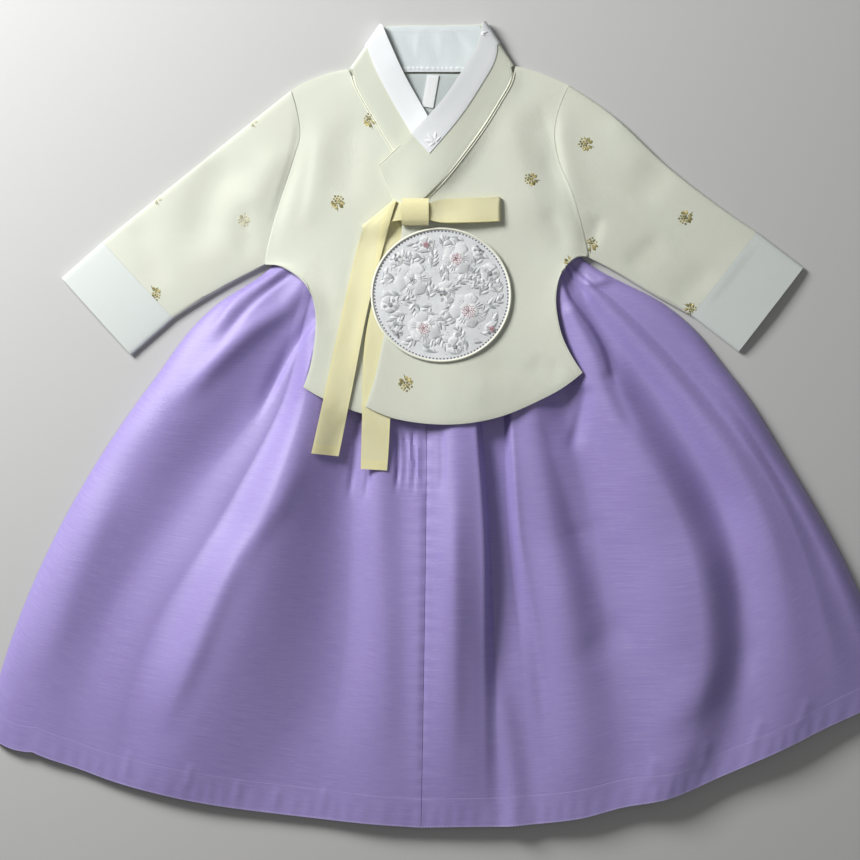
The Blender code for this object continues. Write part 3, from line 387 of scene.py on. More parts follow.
def smooth(knots, values, at):
    """Values at the places asked for, on a smooth curve through the knots' values."""
    knots = np.asarray(knots, float)
    values = np.asarray(values, float)
    at = np.clip(np.asarray(at, float), knots[0], knots[-1])
    slopes = np.gradient(values, knots, axis=0, edge_order=2 if len(knots) > 2 else 1)
    i = np.clip(np.searchsorted(knots, at, side="right") - 1, 0, len(knots) - 2)
    span = knots[i + 1] - knots[i]
    t = (at - knots[i]) / span
    shape = (len(t),) + (1,) * (values.ndim - 1)
    t, span = t.reshape(shape), span.reshape(shape)
    lean = span * t * (1 - t) * ((1 - t) * slopes[i] - t * slopes[i + 1])
    return mix(values[i], values[i + 1], ease(t)) + lean


def through(points, at, corner=None):
    """A smooth curve through rows of points, read at row numbers, with one sharp row if named."""
    points = np.asarray(points, float)
    at = np.asarray(at, float)
    rows = np.arange(len(points))
    if corner is None or not 0 < corner < len(points) - 1:
        return smooth(rows, points, at)
    above = smooth(rows[: corner + 1], points[: corner + 1], at)
    below = smooth(rows[corner:], points[corner:], at)
    return np.where((at <= corner)[:, None], above, below)


def along(points, shares):
    """A smooth curve through the points, read at shares of its length."""
    points = np.asarray(points, float)
    lengths = np.linalg.norm(np.diff(points, axis=0), axis=1)
    knots = np.concatenate([[0.0], np.cumsum(lengths)]) / lengths.sum()
    return smooth(knots, points, shares)


def steps(first, last, step):
    return np.linspace(first, last, round((last - first) / step) + 1)


def full_turn(count):
    """Angles evenly spaced round a circle."""
    return np.linspace(0, math.tau, count + 1)[:-1]


def layered(*values):
    """One grid from values for its rows, its columns or both."""
    return np.dstack(np.broadcast_arrays(*values))


def between(ends, shares):
    """Plan points at shares of the way across rows, each given as (x, y, x, y)."""
    return mix(ends[:, None, :2], ends[:, None, 2:], shares[None, :, None])


def panel(left, right, top, hem, columns, corner=0):
    """Plan points of a piece cut with four edges: rows from top to hem, columns left to right."""
    u = np.linspace(0.0, 1.0, columns)[None, :, None]
    v = np.linspace(0.0, 1.0, len(left))[:, None, None]
    plan = mix(left[:, None], right[:, None], u)
    middle = (left[:, 1] + right[:, 1]) / 2
    evenly = np.interp(range(len(left)), (0, corner, len(left) - 1), middle[[0, corner, -1]])
    plan[..., 1] += (evenly - middle)[:, None] * np.sin(math.pi * u[..., 0]) ** 0.7
    for edge, weight in ((top, 1.0 - v), (hem, v)):
        if edge is not None:
            curve = along(edge, u.ravel())[None]
            plan = plan + weight * (curve - mix(curve[:, :1], curve[:, -1:], u))
    return plan


def strip_plan(table, rows, columns):
    """Plan points of a strip, evenly spaced between the two ends of each of the table's rows."""
    return between(through(table, np.linspace(0, len(table) - 1, rows)), np.linspace(0, 1, columns))


def normals(grid, ring=False):
    """Unit normals of a grid, up where its rows run down the plan from left to right."""
    down = np.gradient(grid, axis=0)
    across = np.gradient(grid, axis=1)
    if ring:
        across = (np.roll(grid, -1, 1) - np.roll(grid, 1, 1)) / 2
    found = np.cross(down, across)
    return found / np.maximum(np.linalg.norm(found, axis=2, keepdims=True), 1e-9)


def run(grid, axis):
    """How far each point of a grid is from its first row or column, along the cloth."""
    leaps = np.linalg.norm(np.diff(grid, axis=axis), axis=2)
    first = np.zeros_like(np.take(leaps, [0], axis=axis))
    return np.concatenate([first, np.cumsum(leaps, axis=axis)], axis=axis)


def joined_up(ring):
    """A ring's grid, with its first column once more at the end."""
    return np.concatenate([ring, ring[:, :1]], axis=1)


def soften(height, rounds, ring=False):
    """Heights evened out with their neighbours'."""
    for _ in range(rounds):
        wide = np.pad(height, ((1, 1), (0, 0)), mode="edge")
        wide = np.pad(wide, ((0, 0), (1, 1)), mode="wrap" if ring else "edge")
        around = wide[:-2, 1:-1] + wide[2:, 1:-1] + wide[1:-1, :-2] + wide[1:-1, 2:]
        height = (height + around) / 5
    return height


def crease(table, x, y, start=CREASE_START):
    """How far a place is raised by all the creases in a table. start is the share of each
    crease's length over which it comes up."""
    total = np.zeros(np.shape(x))
    for points, left, right, height in table:
        path = along(points, np.linspace(0, 1, 12)) if len(points) > 2 else np.array(points, float)
        reach = 3 * max(left, right)
        low, high = path.min(0) - reach, path.max(0) + reach
        near = (x > low[0]) & (x < high[0]) & (y > low[1]) & (y < high[1])
        if not near.any():
            continue
        px, py = x[near], y[near]
        best = np.full(px.shape, np.inf)
        side, share = np.zeros((2, *px.shape))
        for i in range(len(path) - 1):
            (ax, ay), (dx, dy) = path[i], path[i + 1] - path[i]
            t = np.clip(((px - ax) * dx + (py - ay) * dy) / (dx * dx + dy * dy), 0, 1)
            gap = np.hypot(px - ax - t * dx, py - ay - t * dy)
            closer = gap < best
            best = np.where(closer, gap, best)
            side = np.where(closer, dx * (py - ay) - dy * (px - ax), side)
            share = np.where(closer, (i + t) / (len(path) - 1), share)
        width = np.where(side > 0, left, right)
        ends = ease(share / start) * ease((1 - share) / CREASE_END)
        total[near] += height * np.exp(-((best / width) ** 2)) * ends
    return total


def lift(height):
    """How much of a crease a layer takes: none on the table, all where the cloth is clear of it."""
    return ease((height - CREASE_LOW) / (CREASE_FULL - CREASE_LOW))


def creased(grid, table):
    raised = grid.copy()
    raised[..., 2] += crease(table, grid[..., 0], grid[..., 1]) * lift(grid[..., 2])
    return raised


def drop(tree, x, y, start=1000.0):
    """The height at which an upright line down from start meets a mesh, or None beside it."""
    hit = tree.ray_cast(Vector((float(x), float(y), start)), Vector((0, 0, -1)))[0]
    return None if hit is None else hit.z


class Solid:
    """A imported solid, asked for the heights at which an upright line crosses it."""

    MOST_CROSSINGS = 8
    # Crossings closer than this are one, and the line goes on from this far below each
    SAME, STEP = 0.05, 0.01

    def __init__(self, node):
        mesh = frame["nodes"][node].data
        points = [v.co / MM for v in mesh.vertices]
        self.tree = BVHTree.FromPolygons(points, [tuple(face.vertices) for face in mesh.polygons])

    def crossings(self, x, y):
        """The heights, from the top down."""
        found = []
        height = drop(self.tree, x, y)
        while height is not None and len(found) < self.MOST_CROSSINGS:
            if not found or found[-1] - height > self.SAME:
                found.append(height)
            height = drop(self.tree, x, y, height - self.STEP)
        return found

    def heights(self, plan, choose):
        """A height for each plan point, picked by choose from its crossings, top first."""
        rows, columns = plan.shape[:2]
        found = np.full((rows, columns), np.nan)
        for r in range(rows):
            for c in range(columns):
                crossings = self.crossings(*plan[r, c])
                if crossings:
                    found[r, c] = choose(crossings)
        while np.isnan(found).any():
            wide = np.pad(found, 1, mode="constant", constant_values=np.nan)
            around = np.stack([wide[:-2, 1:-1], wide[2:, 1:-1], wide[1:-1, :-2], wide[1:-1, 2:]])
            known = ~np.isnan(around)
            mean = np.where(known, around, 0).sum(0) / np.maximum(known.sum(0), 1)
            found = np.where(np.isnan(found) & known.any(0), mean, found)
        return found


def top_of(crossings):
    return crossings[0]


def underside_of(crossings):
    return crossings[-1]


class Patchwork:
    """Closed thin pieces of cloth or thread, gathered into one mesh with their weave's places."""

    def __init__(self):
        self.points, self.faces, self.weave, self.tones = [], [], [], []
        self.size = 0

    def add(self, outer, inner, weave, tone=0.0, ring=False, turned=False):
        rows, columns = outer.shape[:2]
        r, c = (part.ravel() for part in np.mgrid[0 : rows - 1, 0 : columns - (not ring)])
        top = np.stack([r, r + 1, r + 1, r], 1), np.stack([c, c, c + 1, c + 1], 1)
        if ring:
            c = np.arange(columns)
            first, last = np.zeros_like(c), np.full(columns, rows - 1)
            ends = np.stack([last, c, last, c + 1], 1), np.stack([first, c + 1, first, c], 1)
            edge = np.concatenate(ends)
        else:
            r, c = np.arange(rows - 1), np.arange(columns - 1)
            round_r = np.concatenate([r, 0 * c + rows - 1, r[::-1] + 1, 0 * c])
            round_c = np.concatenate([0 * r, c, 0 * r + columns - 1, c[::-1] + 1])
            edge = np.stack([round_r, round_c, np.roll(round_r, -1), np.roll(round_c, -1)], 1)
        rim = edge[:, [2, 0, 0, 2]], edge[:, [3, 1, 1, 3]]
        layers = (0, 0, 0, 0), (1, 1, 1, 1), (0, 0, 1, 1)
        for (fr, fc), layer, back in zip((top, top, rim), layers, (False, True, False)):
            corner = fr * columns + fc % columns + np.array(layer) * rows * columns + self.size
            place = weave[fr, fc]
            if back != turned:
                corner, place = corner[:, ::-1], place[:, ::-1]
            self.faces.append(corner)
            self.weave.append(place.reshape(-1, 2))
        self.points += [outer.reshape(-1, 3), inner.reshape(-1, 3)]
        self.tones.append(np.full(2 * rows * columns, float(tone)))
        self.size += 2 * rows * columns

    def make(self, name, look, sharp=50.0):
        mesh = bpy.data.meshes.new(name)
        points = np.concatenate(self.points) * MM
        mesh.from_pydata(points.tolist(), [], np.concatenate(self.faces).tolist())
        layer = mesh.uv_layers.new(name="weave")
        layer.data.foreach_set("uv", (np.concatenate(self.weave) * MM).ravel().astype(np.float32))
        tones = np.repeat(np.concatenate(self.tones)[:, None], 4, axis=1)
        tones[:, 3] = 1.0
        attribute = mesh.color_attributes.new("tone", "FLOAT_COLOR", "POINT")
        attribute.data.foreach_set("color", tones.ravel().astype(np.float32))
        mesh.materials.append(look)
        mesh.shade_smooth()
        mesh.set_sharp_from_angle(angle=math.radians(sharp))
        piece = bpy.data.objects.new(name, mesh)
        bpy.context.scene.collection.objects.link(piece)
        return piece


class Wardrobe:
    """Makes the outfit's pieces and remembers the form of each, for what is sewn on it."""

    def __init__(self, looks):
        self.looks = looks
        self.trees = {}
        self.extras = {}
        self.made = {}

    def cloth(self, node, grid, thickness, look, slot, weave=None, ring=False, turned=False, roll=ROLL):
        """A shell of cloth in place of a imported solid. The grid is its outer face."""
        if weave is None:
            weave = grid[..., :2]
        if roll and not ring:
            grid = grid.copy()
            border = np.ones(grid.shape[:2], bool)
            border[1:-1, 1:-1] = False
            grid[border, 2] = np.maximum(grid[border, 2] - roll, min(thickness, grid[..., 2].min()))
        out = normals(grid, ring) * (-1.0 if turned else 1.0)
        inner = grid - out * thickness
        inner[..., 2] = np.maximum(inner[..., 2], 0.0)
        patch = Patchwork()
        patch.add(grid, inner, weave, ring=ring, turned=turned)
        piece = patch.make(node + "_cloth", self.looks[look])
        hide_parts(node)
        self.keep(piece)
        points = [Vector(point) for point in np.concatenate(patch.points)]
        self.trees[node] = BVHTree.FromPolygons(points, np.concatenate(patch.faces).tolist())
        self.made[node] = piece

    def trim(self, name, patch, look, slot, on):
        """Something sewn on a piece of cloth."""
        piece = patch.make(name, self.looks[look], sharp=TRIM_SHARP)
        self.keep(piece)
        self.extras.setdefault(on, []).append(piece)

    def keep(self, piece):
        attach(piece, "root")

    def top(self, x, y):
        """The height of the outfit's top at a place, and the piece that is there."""
        best = (-1.0, None)
        for node, tree in self.trees.items():
            height = drop(tree, x, y)
            if height is not None and height > best[0]:
                best = (height, node)
        return best

    def on(self, node, x, y):
        """The height of one piece's top at a place, or None beside it."""
        return drop(self.trees[node], x, y)

    def bare(self, node):
        """A function for the height of one piece where it is the outfit's top, or None elsewhere."""

        def surface(x, y):
            height, found = self.top(x, y)
            return height if found == node else None

        return surface


# ---- Cloth pieces ------------------------------------------------------------------------------


def draped(node, plan, choose=top_of, rounds=0, table=()):
    """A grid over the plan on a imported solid's form, evened out and creased."""
    return creased(np.dstack([plan, soften(Solid(node).heights(plan, choose), rounds)]), table)


def jacket_side(column, rows):
    table = np.array(JACKET_SIDES)[:, 2 * column : 2 * column + 2]
    return through(table, rows, UNDERARM_ROW)


def jacket_back(wardrobe):
    rows = steps(0, HEM_ROW, BACK_ROW_STEP)
    top = LEFT_SHOULDER + BACK_NECK + RIGHT_SHOULDER
    corner = round(UNDERARM_ROW / BACK_ROW_STEP)
    plan = panel(jacket_side(0, rows), jacket_side(1, rows), top, BACK_HEM, BACK_COLUMNS, corner)
    wardrobe.cloth("jacket_back", layered(plan[..., 0], plan[..., 1], PLATE), PLATE, "jacket", "jacket")


def jacket_front(wardrobe, node, left, right, top, hem, corner, side, sewn):
    """side is the column that is sewn to the band, and sewn says in which of its rows."""
    width = np.linalg.norm(right - left, axis=1).max()
    plan = panel(left, right, top, hem, round(width / JACKET_SPACING) + 1, corner)
    height = soften(Solid(node).heights(plan, top_of), FRONT_ROUNDS)
    inward = unit(plan[0, side] - plan[0, side + (1 if side == 0 else -1)])
    rise = np.zeros(len(plan))
    for row, share in enumerate(sewn):
        band = wardrobe.on("collar", *(plan[row, side] + inward * BAND_PROBE)) if share > 0 else None
        if band is not None:
            rise[row] = share * max(0.0, band - SEAM_DROP - height[row, side])
    window = np.ones(2 * RISE_REACH + 1) / (2 * RISE_REACH + 1)
    rise = np.convolve(np.pad(rise, RISE_REACH, mode="edge"), window, mode="valid")
    gap = np.linalg.norm(plan - plan[:, side][:, None], axis=2)
    height += rise[:, None] * np.exp(-((gap / SEAM_FADE) ** 2))
    grid = creased(np.dstack([plan, height]), JACKET_CREASES)
    wardrobe.cloth(node, grid, SHELL, "jacket", "jacket")


def sewn_until(rows, last, free):
    return ease((free - rows) / (free - last))


def jacket_fronts(wardrobe):
    rows = steps(0, HEM_ROW, ROW_STEP)
    corner = round(UNDERARM_ROW / ROW_STEP)
    seam = [row[2:4] for row in INNER_BAND[::-1]]
    seam[0] = LEFT_SHOULDER[-1]
    right = through(np.array(seam + list(INNER_FREE_EDGE)), rows)
    right[rows <= len(seam) - 1, 0] -= BAND_SEAM
    jacket_front(wardrobe, "front_inner", jacket_side(0, rows), right, LEFT_SHOULDER, INNER_HEM, corner,
                 side=-1, sewn=sewn_until(rows, *INNER_SEWN))
    seam = [row[2:4] for row in OUTER_BAND]
    seam[0] = RIGHT_SHOULDER[0]
    left = through(np.array(seam + list(OUTER_FREE_EDGE)), rows, len(seam) - 1)
    left[rows <= len(seam) - 1, 0] += BAND_SEAM
    jacket_front(wardrobe, "front_outer", left, jacket_side(1, rows), RIGHT_SHOULDER, OUTER_HEM, corner,
                 side=0, sewn=sewn_until(rows, *OUTER_SEWN))


def tube(wardrobe, node, upper, lower, look, slot, rises, middle, base=0.0, table=JACKET_CREASES):
    """A flat tube of cloth, open at both ends. upper and lower are its two folded edges, one
    point for each station, and middle gives the points between them. rises are the heights
    beside the upper and the lower edge, for all the stations or for each."""
    leftwards = upper[-1][0] < upper[0][0]
    turns = np.radians(np.linspace(-90, 90, EDGE_TURNS))
    insets = TUBE_EDGE * (1 - np.cos(turns))
    edge_heights = TUBE_EDGE * (1 + np.sin(turns))
    stations = []
    for a, b, inside, rise in zip(upper, lower, middle, np.broadcast_to(rises, upper.shape)):
        down, up = unit(inside[0] - a), unit(inside[-1] - b)
        share = np.arange(1, len(inside) + 1) / (len(inside) + 1)
        crown = np.sin(math.pi * share) ** FULLNESS
        face = mix(2 * TUBE_EDGE, mix(rise[0], rise[1], share), crown)
        loop = [(*(a + down * i), h) for i, h in zip(insets, edge_heights)]
        loop += [(*point, h) for point, h in zip(inside, face)]
        loop += [(*(b + up * i), h) for i, h in zip(insets[::-1], edge_heights[::-1])]
        loop += [(*point, 0.0) for point in inside[::-1]]
        stations.append(loop)
    grid = np.array(stations)
    grid[..., 2] += base
    grid = creased(grid, table)
    closed = joined_up(grid)
    middle_line = (upper + lower) / 2
    ahead = unit(middle_line[-1] - middle_line[0])
    weave = np.dstack([run(closed, 1), (closed[..., :2] - middle_line[0]) @ ahead])
    wardrobe.cloth(node, grid, SHELL, look, slot, weave, ring=True, turned=not leftwards)


def straight_across(upper, lower, count):
    """The points between a tube's two edges, on straight lines of count points."""
    shares = np.linspace(0, 1, count)[2:-2, None]
    return [mix(a, b, shares) for a, b in zip(upper, lower)]


def sleeve(wardrobe, node, cuff_node, column, shape, away):
    armhole = jacket_side(column, steps(0, UNDERARM_ROW, ARMHOLE_STEP)) + (away * EDGE_SEAM, 0.0)
    shares = np.linspace(0.0, 1.0, SLEEVE_STATIONS)
    upper = along(shape["upper"], shares) + (away * EDGE_SEAM, 0.0)
    lower = along(shape["lower"], shares) + (away * EDGE_SEAM, 0.0)
    across = np.linspace(0.0, 1.0, len(armhole))[:, None]
    seam = mix(upper[-1], lower[-1], across)
    middle, rises = [], []
    for a, b, share in zip(upper, lower, shares):
        bend_upper = a - mix(armhole[0], seam[0], share)
        bend_lower = b - mix(armhole[-1], seam[-1], share)
        curve = mix(armhole, seam, share) + mix(bend_upper, bend_lower, across)
        middle.append(curve[2:-2])
        rises.append((mix(SHOULDER_HEIGHT, SLEEVE_HEIGHT, min(1, 2 * share)), SLEEVE_HEIGHT))
    tube(wardrobe, node, upper, lower, "jacket", "jacket", rises, middle)
    outer = np.array(shape["cuff"])
    gap = unit(outer[0] - upper[-1]) * EDGE_SEAM
    shares = np.linspace(0.0, 1.0, CUFF_STATIONS)[:, None]
    upper, lower = mix(upper[-1] + gap, outer[0], shares), mix(lower[-1] + gap, outer[1], shares)
    middle = straight_across(upper, lower, len(armhole))
    tube(wardrobe, cuff_node, upper, lower, "cuff", "cuff", CUFF_HEIGHT, middle)


def fold_lines(folds, lengths):
    """Each fold's points (x, y, height) at the lengths asked for."""
    lines = []
    for _, hem_y, xs, heights in folds:
        x = smooth(LENGTHS, xs, lengths)
        z = np.maximum(smooth(LENGTHS, heights, lengths), 0.0)
        lines.append(np.stack([x, mix(WAIST_Y, hem_y, lengths), z], axis=1))
    return lines


def skirt_underside(folds, lengths):
    """Columns from fold line to fold line, round beside the sides and smooth over the other folds."""
    lines = fold_lines(folds, lengths)
    columns = [lines[0]]
    for (name, *_), (next_name, *_), line, next_line in zip(folds, folds[1:], lines, lines[1:]):
        gap = np.linalg.norm(next_line - line, axis=1).max()
        cells = max(LEAST_CELLS, round(gap / SPACING))
        for share in np.arange(1, cells + 1) / cells:
            turn = share * math.pi / 2
            shares = (share, share, ease(share))
            if name == "side":
                shares = (1 - math.cos(turn), math.sin(turn), math.sin(turn))
            if next_name == "side":
                shares = (math.sin(turn), 1 - math.cos(turn), 1 - math.cos(turn))
            columns.append(mix(line, next_line, np.array(shares)))
    under = np.stack(columns, axis=1)
    for row, knots in zip(under, np.stack(lines, axis=1)):
        inside = (row[:, 0] > knots[1, 0]) & (row[:, 0] < knots[-2, 0])
        row[inside, 1] = smooth(knots[:, 0], knots[:, 1], row[inside, 0])
    return under


def calmed(under, seam_x, start, span):
    """The folds evened out across the skirt towards the hem, except near the seam."""
    x, y, z = np.moveaxis(under, 2, 0)
    level = z
    for _ in range(CALM_ROUNDS):
        wide = np.pad(level, ((0, 0), (1, 1)), mode="edge")
        level = (level + wide[:, :-2] + wide[:, 2:]) / 3
    beside_seam = ease(np.abs(x - seam_x) / CALM_SEAM)
    share = CALM_MOST * ease((start - y) / span) * beside_seam * ease(z / CALM_HEIGHT)
    return np.dstack([x, y, mix(z, np.maximum(level, 0.0), share)])


def skirt_relief(x, y, z, seam_x, hem):
    """Folds and gathers, the seam's puckers, the hem's ripple and the cloth's own unevenness."""
    aside = np.abs(x - seam_x)
    pull = np.exp(-aside / 6.0) * ease((30.0 - y) / 60.0) * ease((y + 366.0) / 20.0)
    pucker = PUCKER * pull * np.sin(y / 2.15 + 1.3 * np.sin(y / 9.0) + 0.06 * aside)
    near_hem = np.exp(-((hem / HEM_MIDDLE - 1) ** 2))
    ripple = RIPPLE * near_hem * np.sin(x / 2.3 + 2.0 * np.sin(x / 17.0))
    drift = DRIFT * np.sin(x / 19.0 + 0.7 * np.sin(y / 31.0)) * np.sin(y / 27.0 + 1.1 * np.sin(x / 41.0))
    folds = crease(SKIRT_FOLDS, x, y) + crease(JACKET_CREASES, x, y)
    gathers = crease(SKIRT_CREASES, x, y, GATHER_START)
    raised = folds + gathers + pucker + ripple + drift * ease((110.0 - y) / 40.0)
    return raised * ease((z - 1.5) / 5.0)


def press_under_jacket(outer):
    for front in (Solid("front_inner"), Solid("front_outer")):
        for row, column in np.argwhere(outer[..., 1] > JACKET_HEM_Y):
            above = front.crossings(*outer[row, column, :2])
            if above:
                outer[row, column, 2] = min(outer[row, column, 2], above[-1] - JACKET_CLEAR)


def skirt_front(wardrobe, node, folds):
    even = np.linspace(0.0, 1.0, SKIRT_ROWS)
    lengths = even * mix(ROWS_AT_WAIST, 1.0, even)
    hem = (1 - lengths[:, None]) * SKIRT_LENGTH
    seam_x = smooth(LENGTHS, LEFT_FOLDS[-1][2], lengths)[:, None]
    under = calmed(skirt_underside(folds, lengths), seam_x, *CALMED[node])
    outer = under + normals(under) * SKIRT_CLOTH
    outer[..., 2] = np.maximum(outer[..., 2], 0.0)
    outer[..., 2] += skirt_relief(*np.moveaxis(outer, 2, 0), seam_x, hem)
    press_under_jacket(outer)
    weave = layered(run(outer, 1)[-1][None, :], hem)
    wardrobe.cloth(node, outer, SHELL, "skirt", "skirt", weave, roll=0.0)


def skirt_back(wardrobe):
    lengths = np.linspace(0.0, 1.0, SKIRT_BACK_ROWS)
    inset = np.stack([smooth(LENGTHS, BACK_INSETS, lengths), lengths * 0.0], axis=1)
    left = fold_lines(LEFT_FOLDS[:1], lengths)[0][:, :2] + inset
    right = fold_lines(RIGHT_FOLDS[-1:], lengths)[0][:, :2] - inset
    hem = [(fold[2][-1], fold[1]) for fold in LEFT_FOLDS[2::2] + RIGHT_FOLDS[1:-1:2]]
    plan = panel(left, right, None, [tuple(left[-1]), *hem, tuple(right[-1])], SKIRT_BACK_COLUMNS)
    plan[..., 1] += BACK_HEM_LIFT * lengths[:, None] ** 4
    grid = draped("skirt_back", plan)
    weave = layered(run(grid, 1)[-1][None, :], (1 - lengths[:, None]) * SKIRT_LENGTH)
    wardrobe.cloth("skirt_back", grid, PLATE, "skirt", "skirt", weave, roll=0.0)


def waistband(wardrobe):
    shares = np.linspace(0, 1, WAISTBAND_STATIONS)
    upper, lower = between(np.array(WAISTBAND), shares)
    start, end = WAISTBAND_SINKS
    heights = WAISTBAND_HEIGHT - WAISTBAND_FALL * ease((shares - start) / (end - start))
    middle = straight_across(upper, lower, TUBE_ROWS)
    tube(wardrobe, "waistband", upper, lower, "skirt", "skirt", heights[:, None], middle,
         base=PLATE + SEAM, table=())


def half_turn(low_row, high_row, away):
    """Rows of a fold: the cloth turns over about a low row, up to the height of a high one."""
    line, low = low_row[:, :2], low_row[:, 2]
    across = line[-1] - line[0]
    out = unit(np.array([across[1], -across[0]]))
    out = out if out[0] * away > 0 else -out
    radius = (high_row[:, 2] - low) / 2
    rows = []
    for turn in np.linspace(0, math.pi, FOLD_ROWS)[1:-1]:
        bulge = out * np.mean(radius) * math.sin(turn)
        rows.append(np.column_stack([line + bulge, low + radius * (1 - math.cos(turn))]))
    return rows


def band_plan(table):
    rows = steps(0, len(table) - 1, BAND_STEP)
    return rows, between(through(table, rows), np.linspace(0, 1, BAND_COLUMNS))


def inner_band_top(crossings):
    """The inner front's band is the lowest of the walls that lie clear of the back's band."""
    tops = [h for h in crossings[::2] if h > BACK_BAND_HEIGHT + BAND_CLEAR]
    return tops[-1] if tops else crossings[0]


def collar(wardrobe):
    """The band and the white strip over its neck edge."""
    solid = Solid("collar")
    grids = []
    inward = 1 - np.linspace(0, 1, BAND_COLUMNS)
    for table, choose, (first, last, rise) in (
        (INNER_BAND, inner_band_top, INNER_RISE),
        (OUTER_BAND, top_of, OUTER_RISE),
    ):
        rows, plan = band_plan(table)
        height = soften(solid.heights(plan, choose), BAND_ROUNDS)
        height += rise * ease((rows - first) / (last - first))[:, None] * inward**1.4
        grids.append(creased(np.dstack([plan, height - BAND]), JACKET_CREASES))
    inner, outer = grids
    plan = band_plan(BACK_BAND)[1]
    back = layered(plan[..., 0], plan[..., 1], BACK_BAND_HEIGHT)
    left_turn, right_turn = half_turn(back[0], inner[-1], -1), half_turn(back[-1], outer[0], 1)
    band = np.stack([*inner, *left_turn[::-1], *back, *right_turn, *outer])
    out = normals(band)
    weave = np.dstack([run(band, 1), run(band, 0)])
    wardrobe.cloth("collar", band + out * BAND, BAND, "collar", "jacket", weave, roll=BAND_ROLL)
    columns = round(STRIP_SHARE * BAND_COLUMNS)
    last = len(band) - len(outer) + round(STRIP_LAST_ROW / BAND_STEP) + 1
    strip = (band + out * (BAND + STRIP_GAP + STRIP))[:last, :columns]
    strip[..., 2] = np.maximum(strip[..., 2], 0.0)
    wardrobe.cloth("neck_strip", strip, STRIP, "strip", "strip", weave[:last, :columns], roll=STRIP_ROLL)


def neck_inside(wardrobe):
    plan = between(through(BACK_BAND, np.linspace(*FACING_ENDS, 50)), np.linspace(0.02, 0.98, 18))
    x, y = plan[..., 0], plan[..., 1]
    dents = FACING_DENT * np.sin(x / 3.6 + 1.5 * np.sin(y / 11.0)) * np.sin((y - 322.0) / 13.9)
    grid = np.dstack([plan, FACING_HEIGHT + dents + crease(NECK_CREASES, x, y)])
    wardrobe.cloth("collar_facing", grid, SHELL, "facing", "strip", turned=True)
    for node, table, rows, columns, look, roll in (
        ("back_lining", BACK_LINING, 24, 34, "lining", ROLL),
        ("label", LABEL, 16, 7, "label", LABEL_ROLL),
    ):
        wardrobe.cloth(node, draped(node, strip_plan(table, rows, columns)), SHELL, look, look, roll=roll)


def ribbon_cloth(wardrobe, node, grid):
    weave = np.dstack([run(grid, 1), run(grid[::-1], 0)[::-1]])
    wardrobe.cloth(node, grid, RIBBON, "ribbon", "ribbon", weave, roll=0.0)


def ribbon_tails(wardrobe):
    plan = strip_plan(SHORT_TAIL, 92, RIBBON_COLUMNS)
    ribbon_cloth(wardrobe, "ribbon_tail_short", draped("ribbon_tail_short", plan, top_of, 8, JACKET_CREASES))
    under = strip_plan(LONG_TAIL_UNDER, 14, RIBBON_COLUMNS)
    over = strip_plan(LONG_TAIL_OVER, 86, RIBBON_COLUMNS)
    low = draped("ribbon_tail_long", under, underside_of, 2, JACKET_CREASES)
    high = draped("ribbon_tail_long", over, top_of, 6, JACKET_CREASES)
    ribbon_cloth(wardrobe, "ribbon_tail_long", np.stack([*low, *half_turn(low[-1], high[0], -1), *high]))


def ribbon_loop(wardrobe):
    found = through(LOOP, np.linspace(0, len(LOOP) - 1, 30))
    share = np.linspace(0, 1, RIBBON_COLUMNS)[None, :]
    plan = layered(found[:, :1], mix(found[:, 1:2], found[:, 2:], share))
    bottom, top = (draped("ribbon_loop", plan, choose, 3) for choose in (underside_of, top_of))
    fold = half_turn(bottom[-1], top[-1], 1)
    ribbon_cloth(wardrobe, "ribbon_loop", np.stack([*bottom, *fold, *top[::-1]]))


def ribbon_knot(wardrobe):
    x0, x1, y0, y1 = KNOT
    x = np.linspace(x0, x1, 14)
    upper, lower = np.stack([x, x * 0 + y1], 1), np.stack([x, x * 0 + y0], 1)
    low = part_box("ribbon_knot")[0].z / MM
    middle = straight_across(upper, lower, 16)
    tube(wardrobe, "ribbon_knot", upper, lower, "knot", "ribbon", KNOT_HEIGHT, middle, base=low, table=())


def badge(wardrobe):
    """A round patch drawn as rings about its middle."""
    rings, angles = np.linspace(1.0, 0.02, 30)[:, None], full_turn(120)
    x = BADGE_CENTRE[0] + BADGE_RADII[0] * rings * np.cos(angles)
    y = BADGE_CENTRE[1] + BADGE_RADII[1] * rings * np.sin(angles)
    height = soften(Solid("badge").heights(np.dstack([x, y]), underside_of) + SHELL, BADGE_ROUNDS, ring=True)
    height[-3:] = height[-4:].mean()
    grid = creased(np.dstack([x, y, height]), JACKET_CREASES)
    weave = joined_up(grid)[..., :2] - BADGE_CENTRE
    wardrobe.cloth("badge", grid, SHELL, "badge", "badge", weave, ring=True, turned=True)


# ---- Materials ---------------------------------------------------------------------------------

# All of these are in metres, but for the badge's holes: their ring and size are shares of its radius
SATIN_PITCH = 0.0007
GAUZE_PITCH = 0.0006
SILK_PITCH = 0.0008
FLOSS_PITCH = 0.0005
CORD_PITCH = 0.0011
RIBBON_WIDTH = 0.0248
KNOT_WIDTH = 0.2
GAUZE_SIDE, GAUZE_END = 0.0016, 0.009
HEM_DEPTH, HEM_STITCH, STITCH_WIDTH = 0.0262, 0.0265, 0.0005
EDGE_WIDTH, EDGE_PITCH = 0.0016, 0.0026
HOLE_RING, HOLE_SIZE, HOLE_COUNT = 0.944, 0.0095, 118


def arithmetic(operation, reflected=False):
    """An operator of Shade that adds a Math node."""

    def work(self, other):
        return self.look.sum(operation, *((other, self) if reflected else (self, other)))

    return work


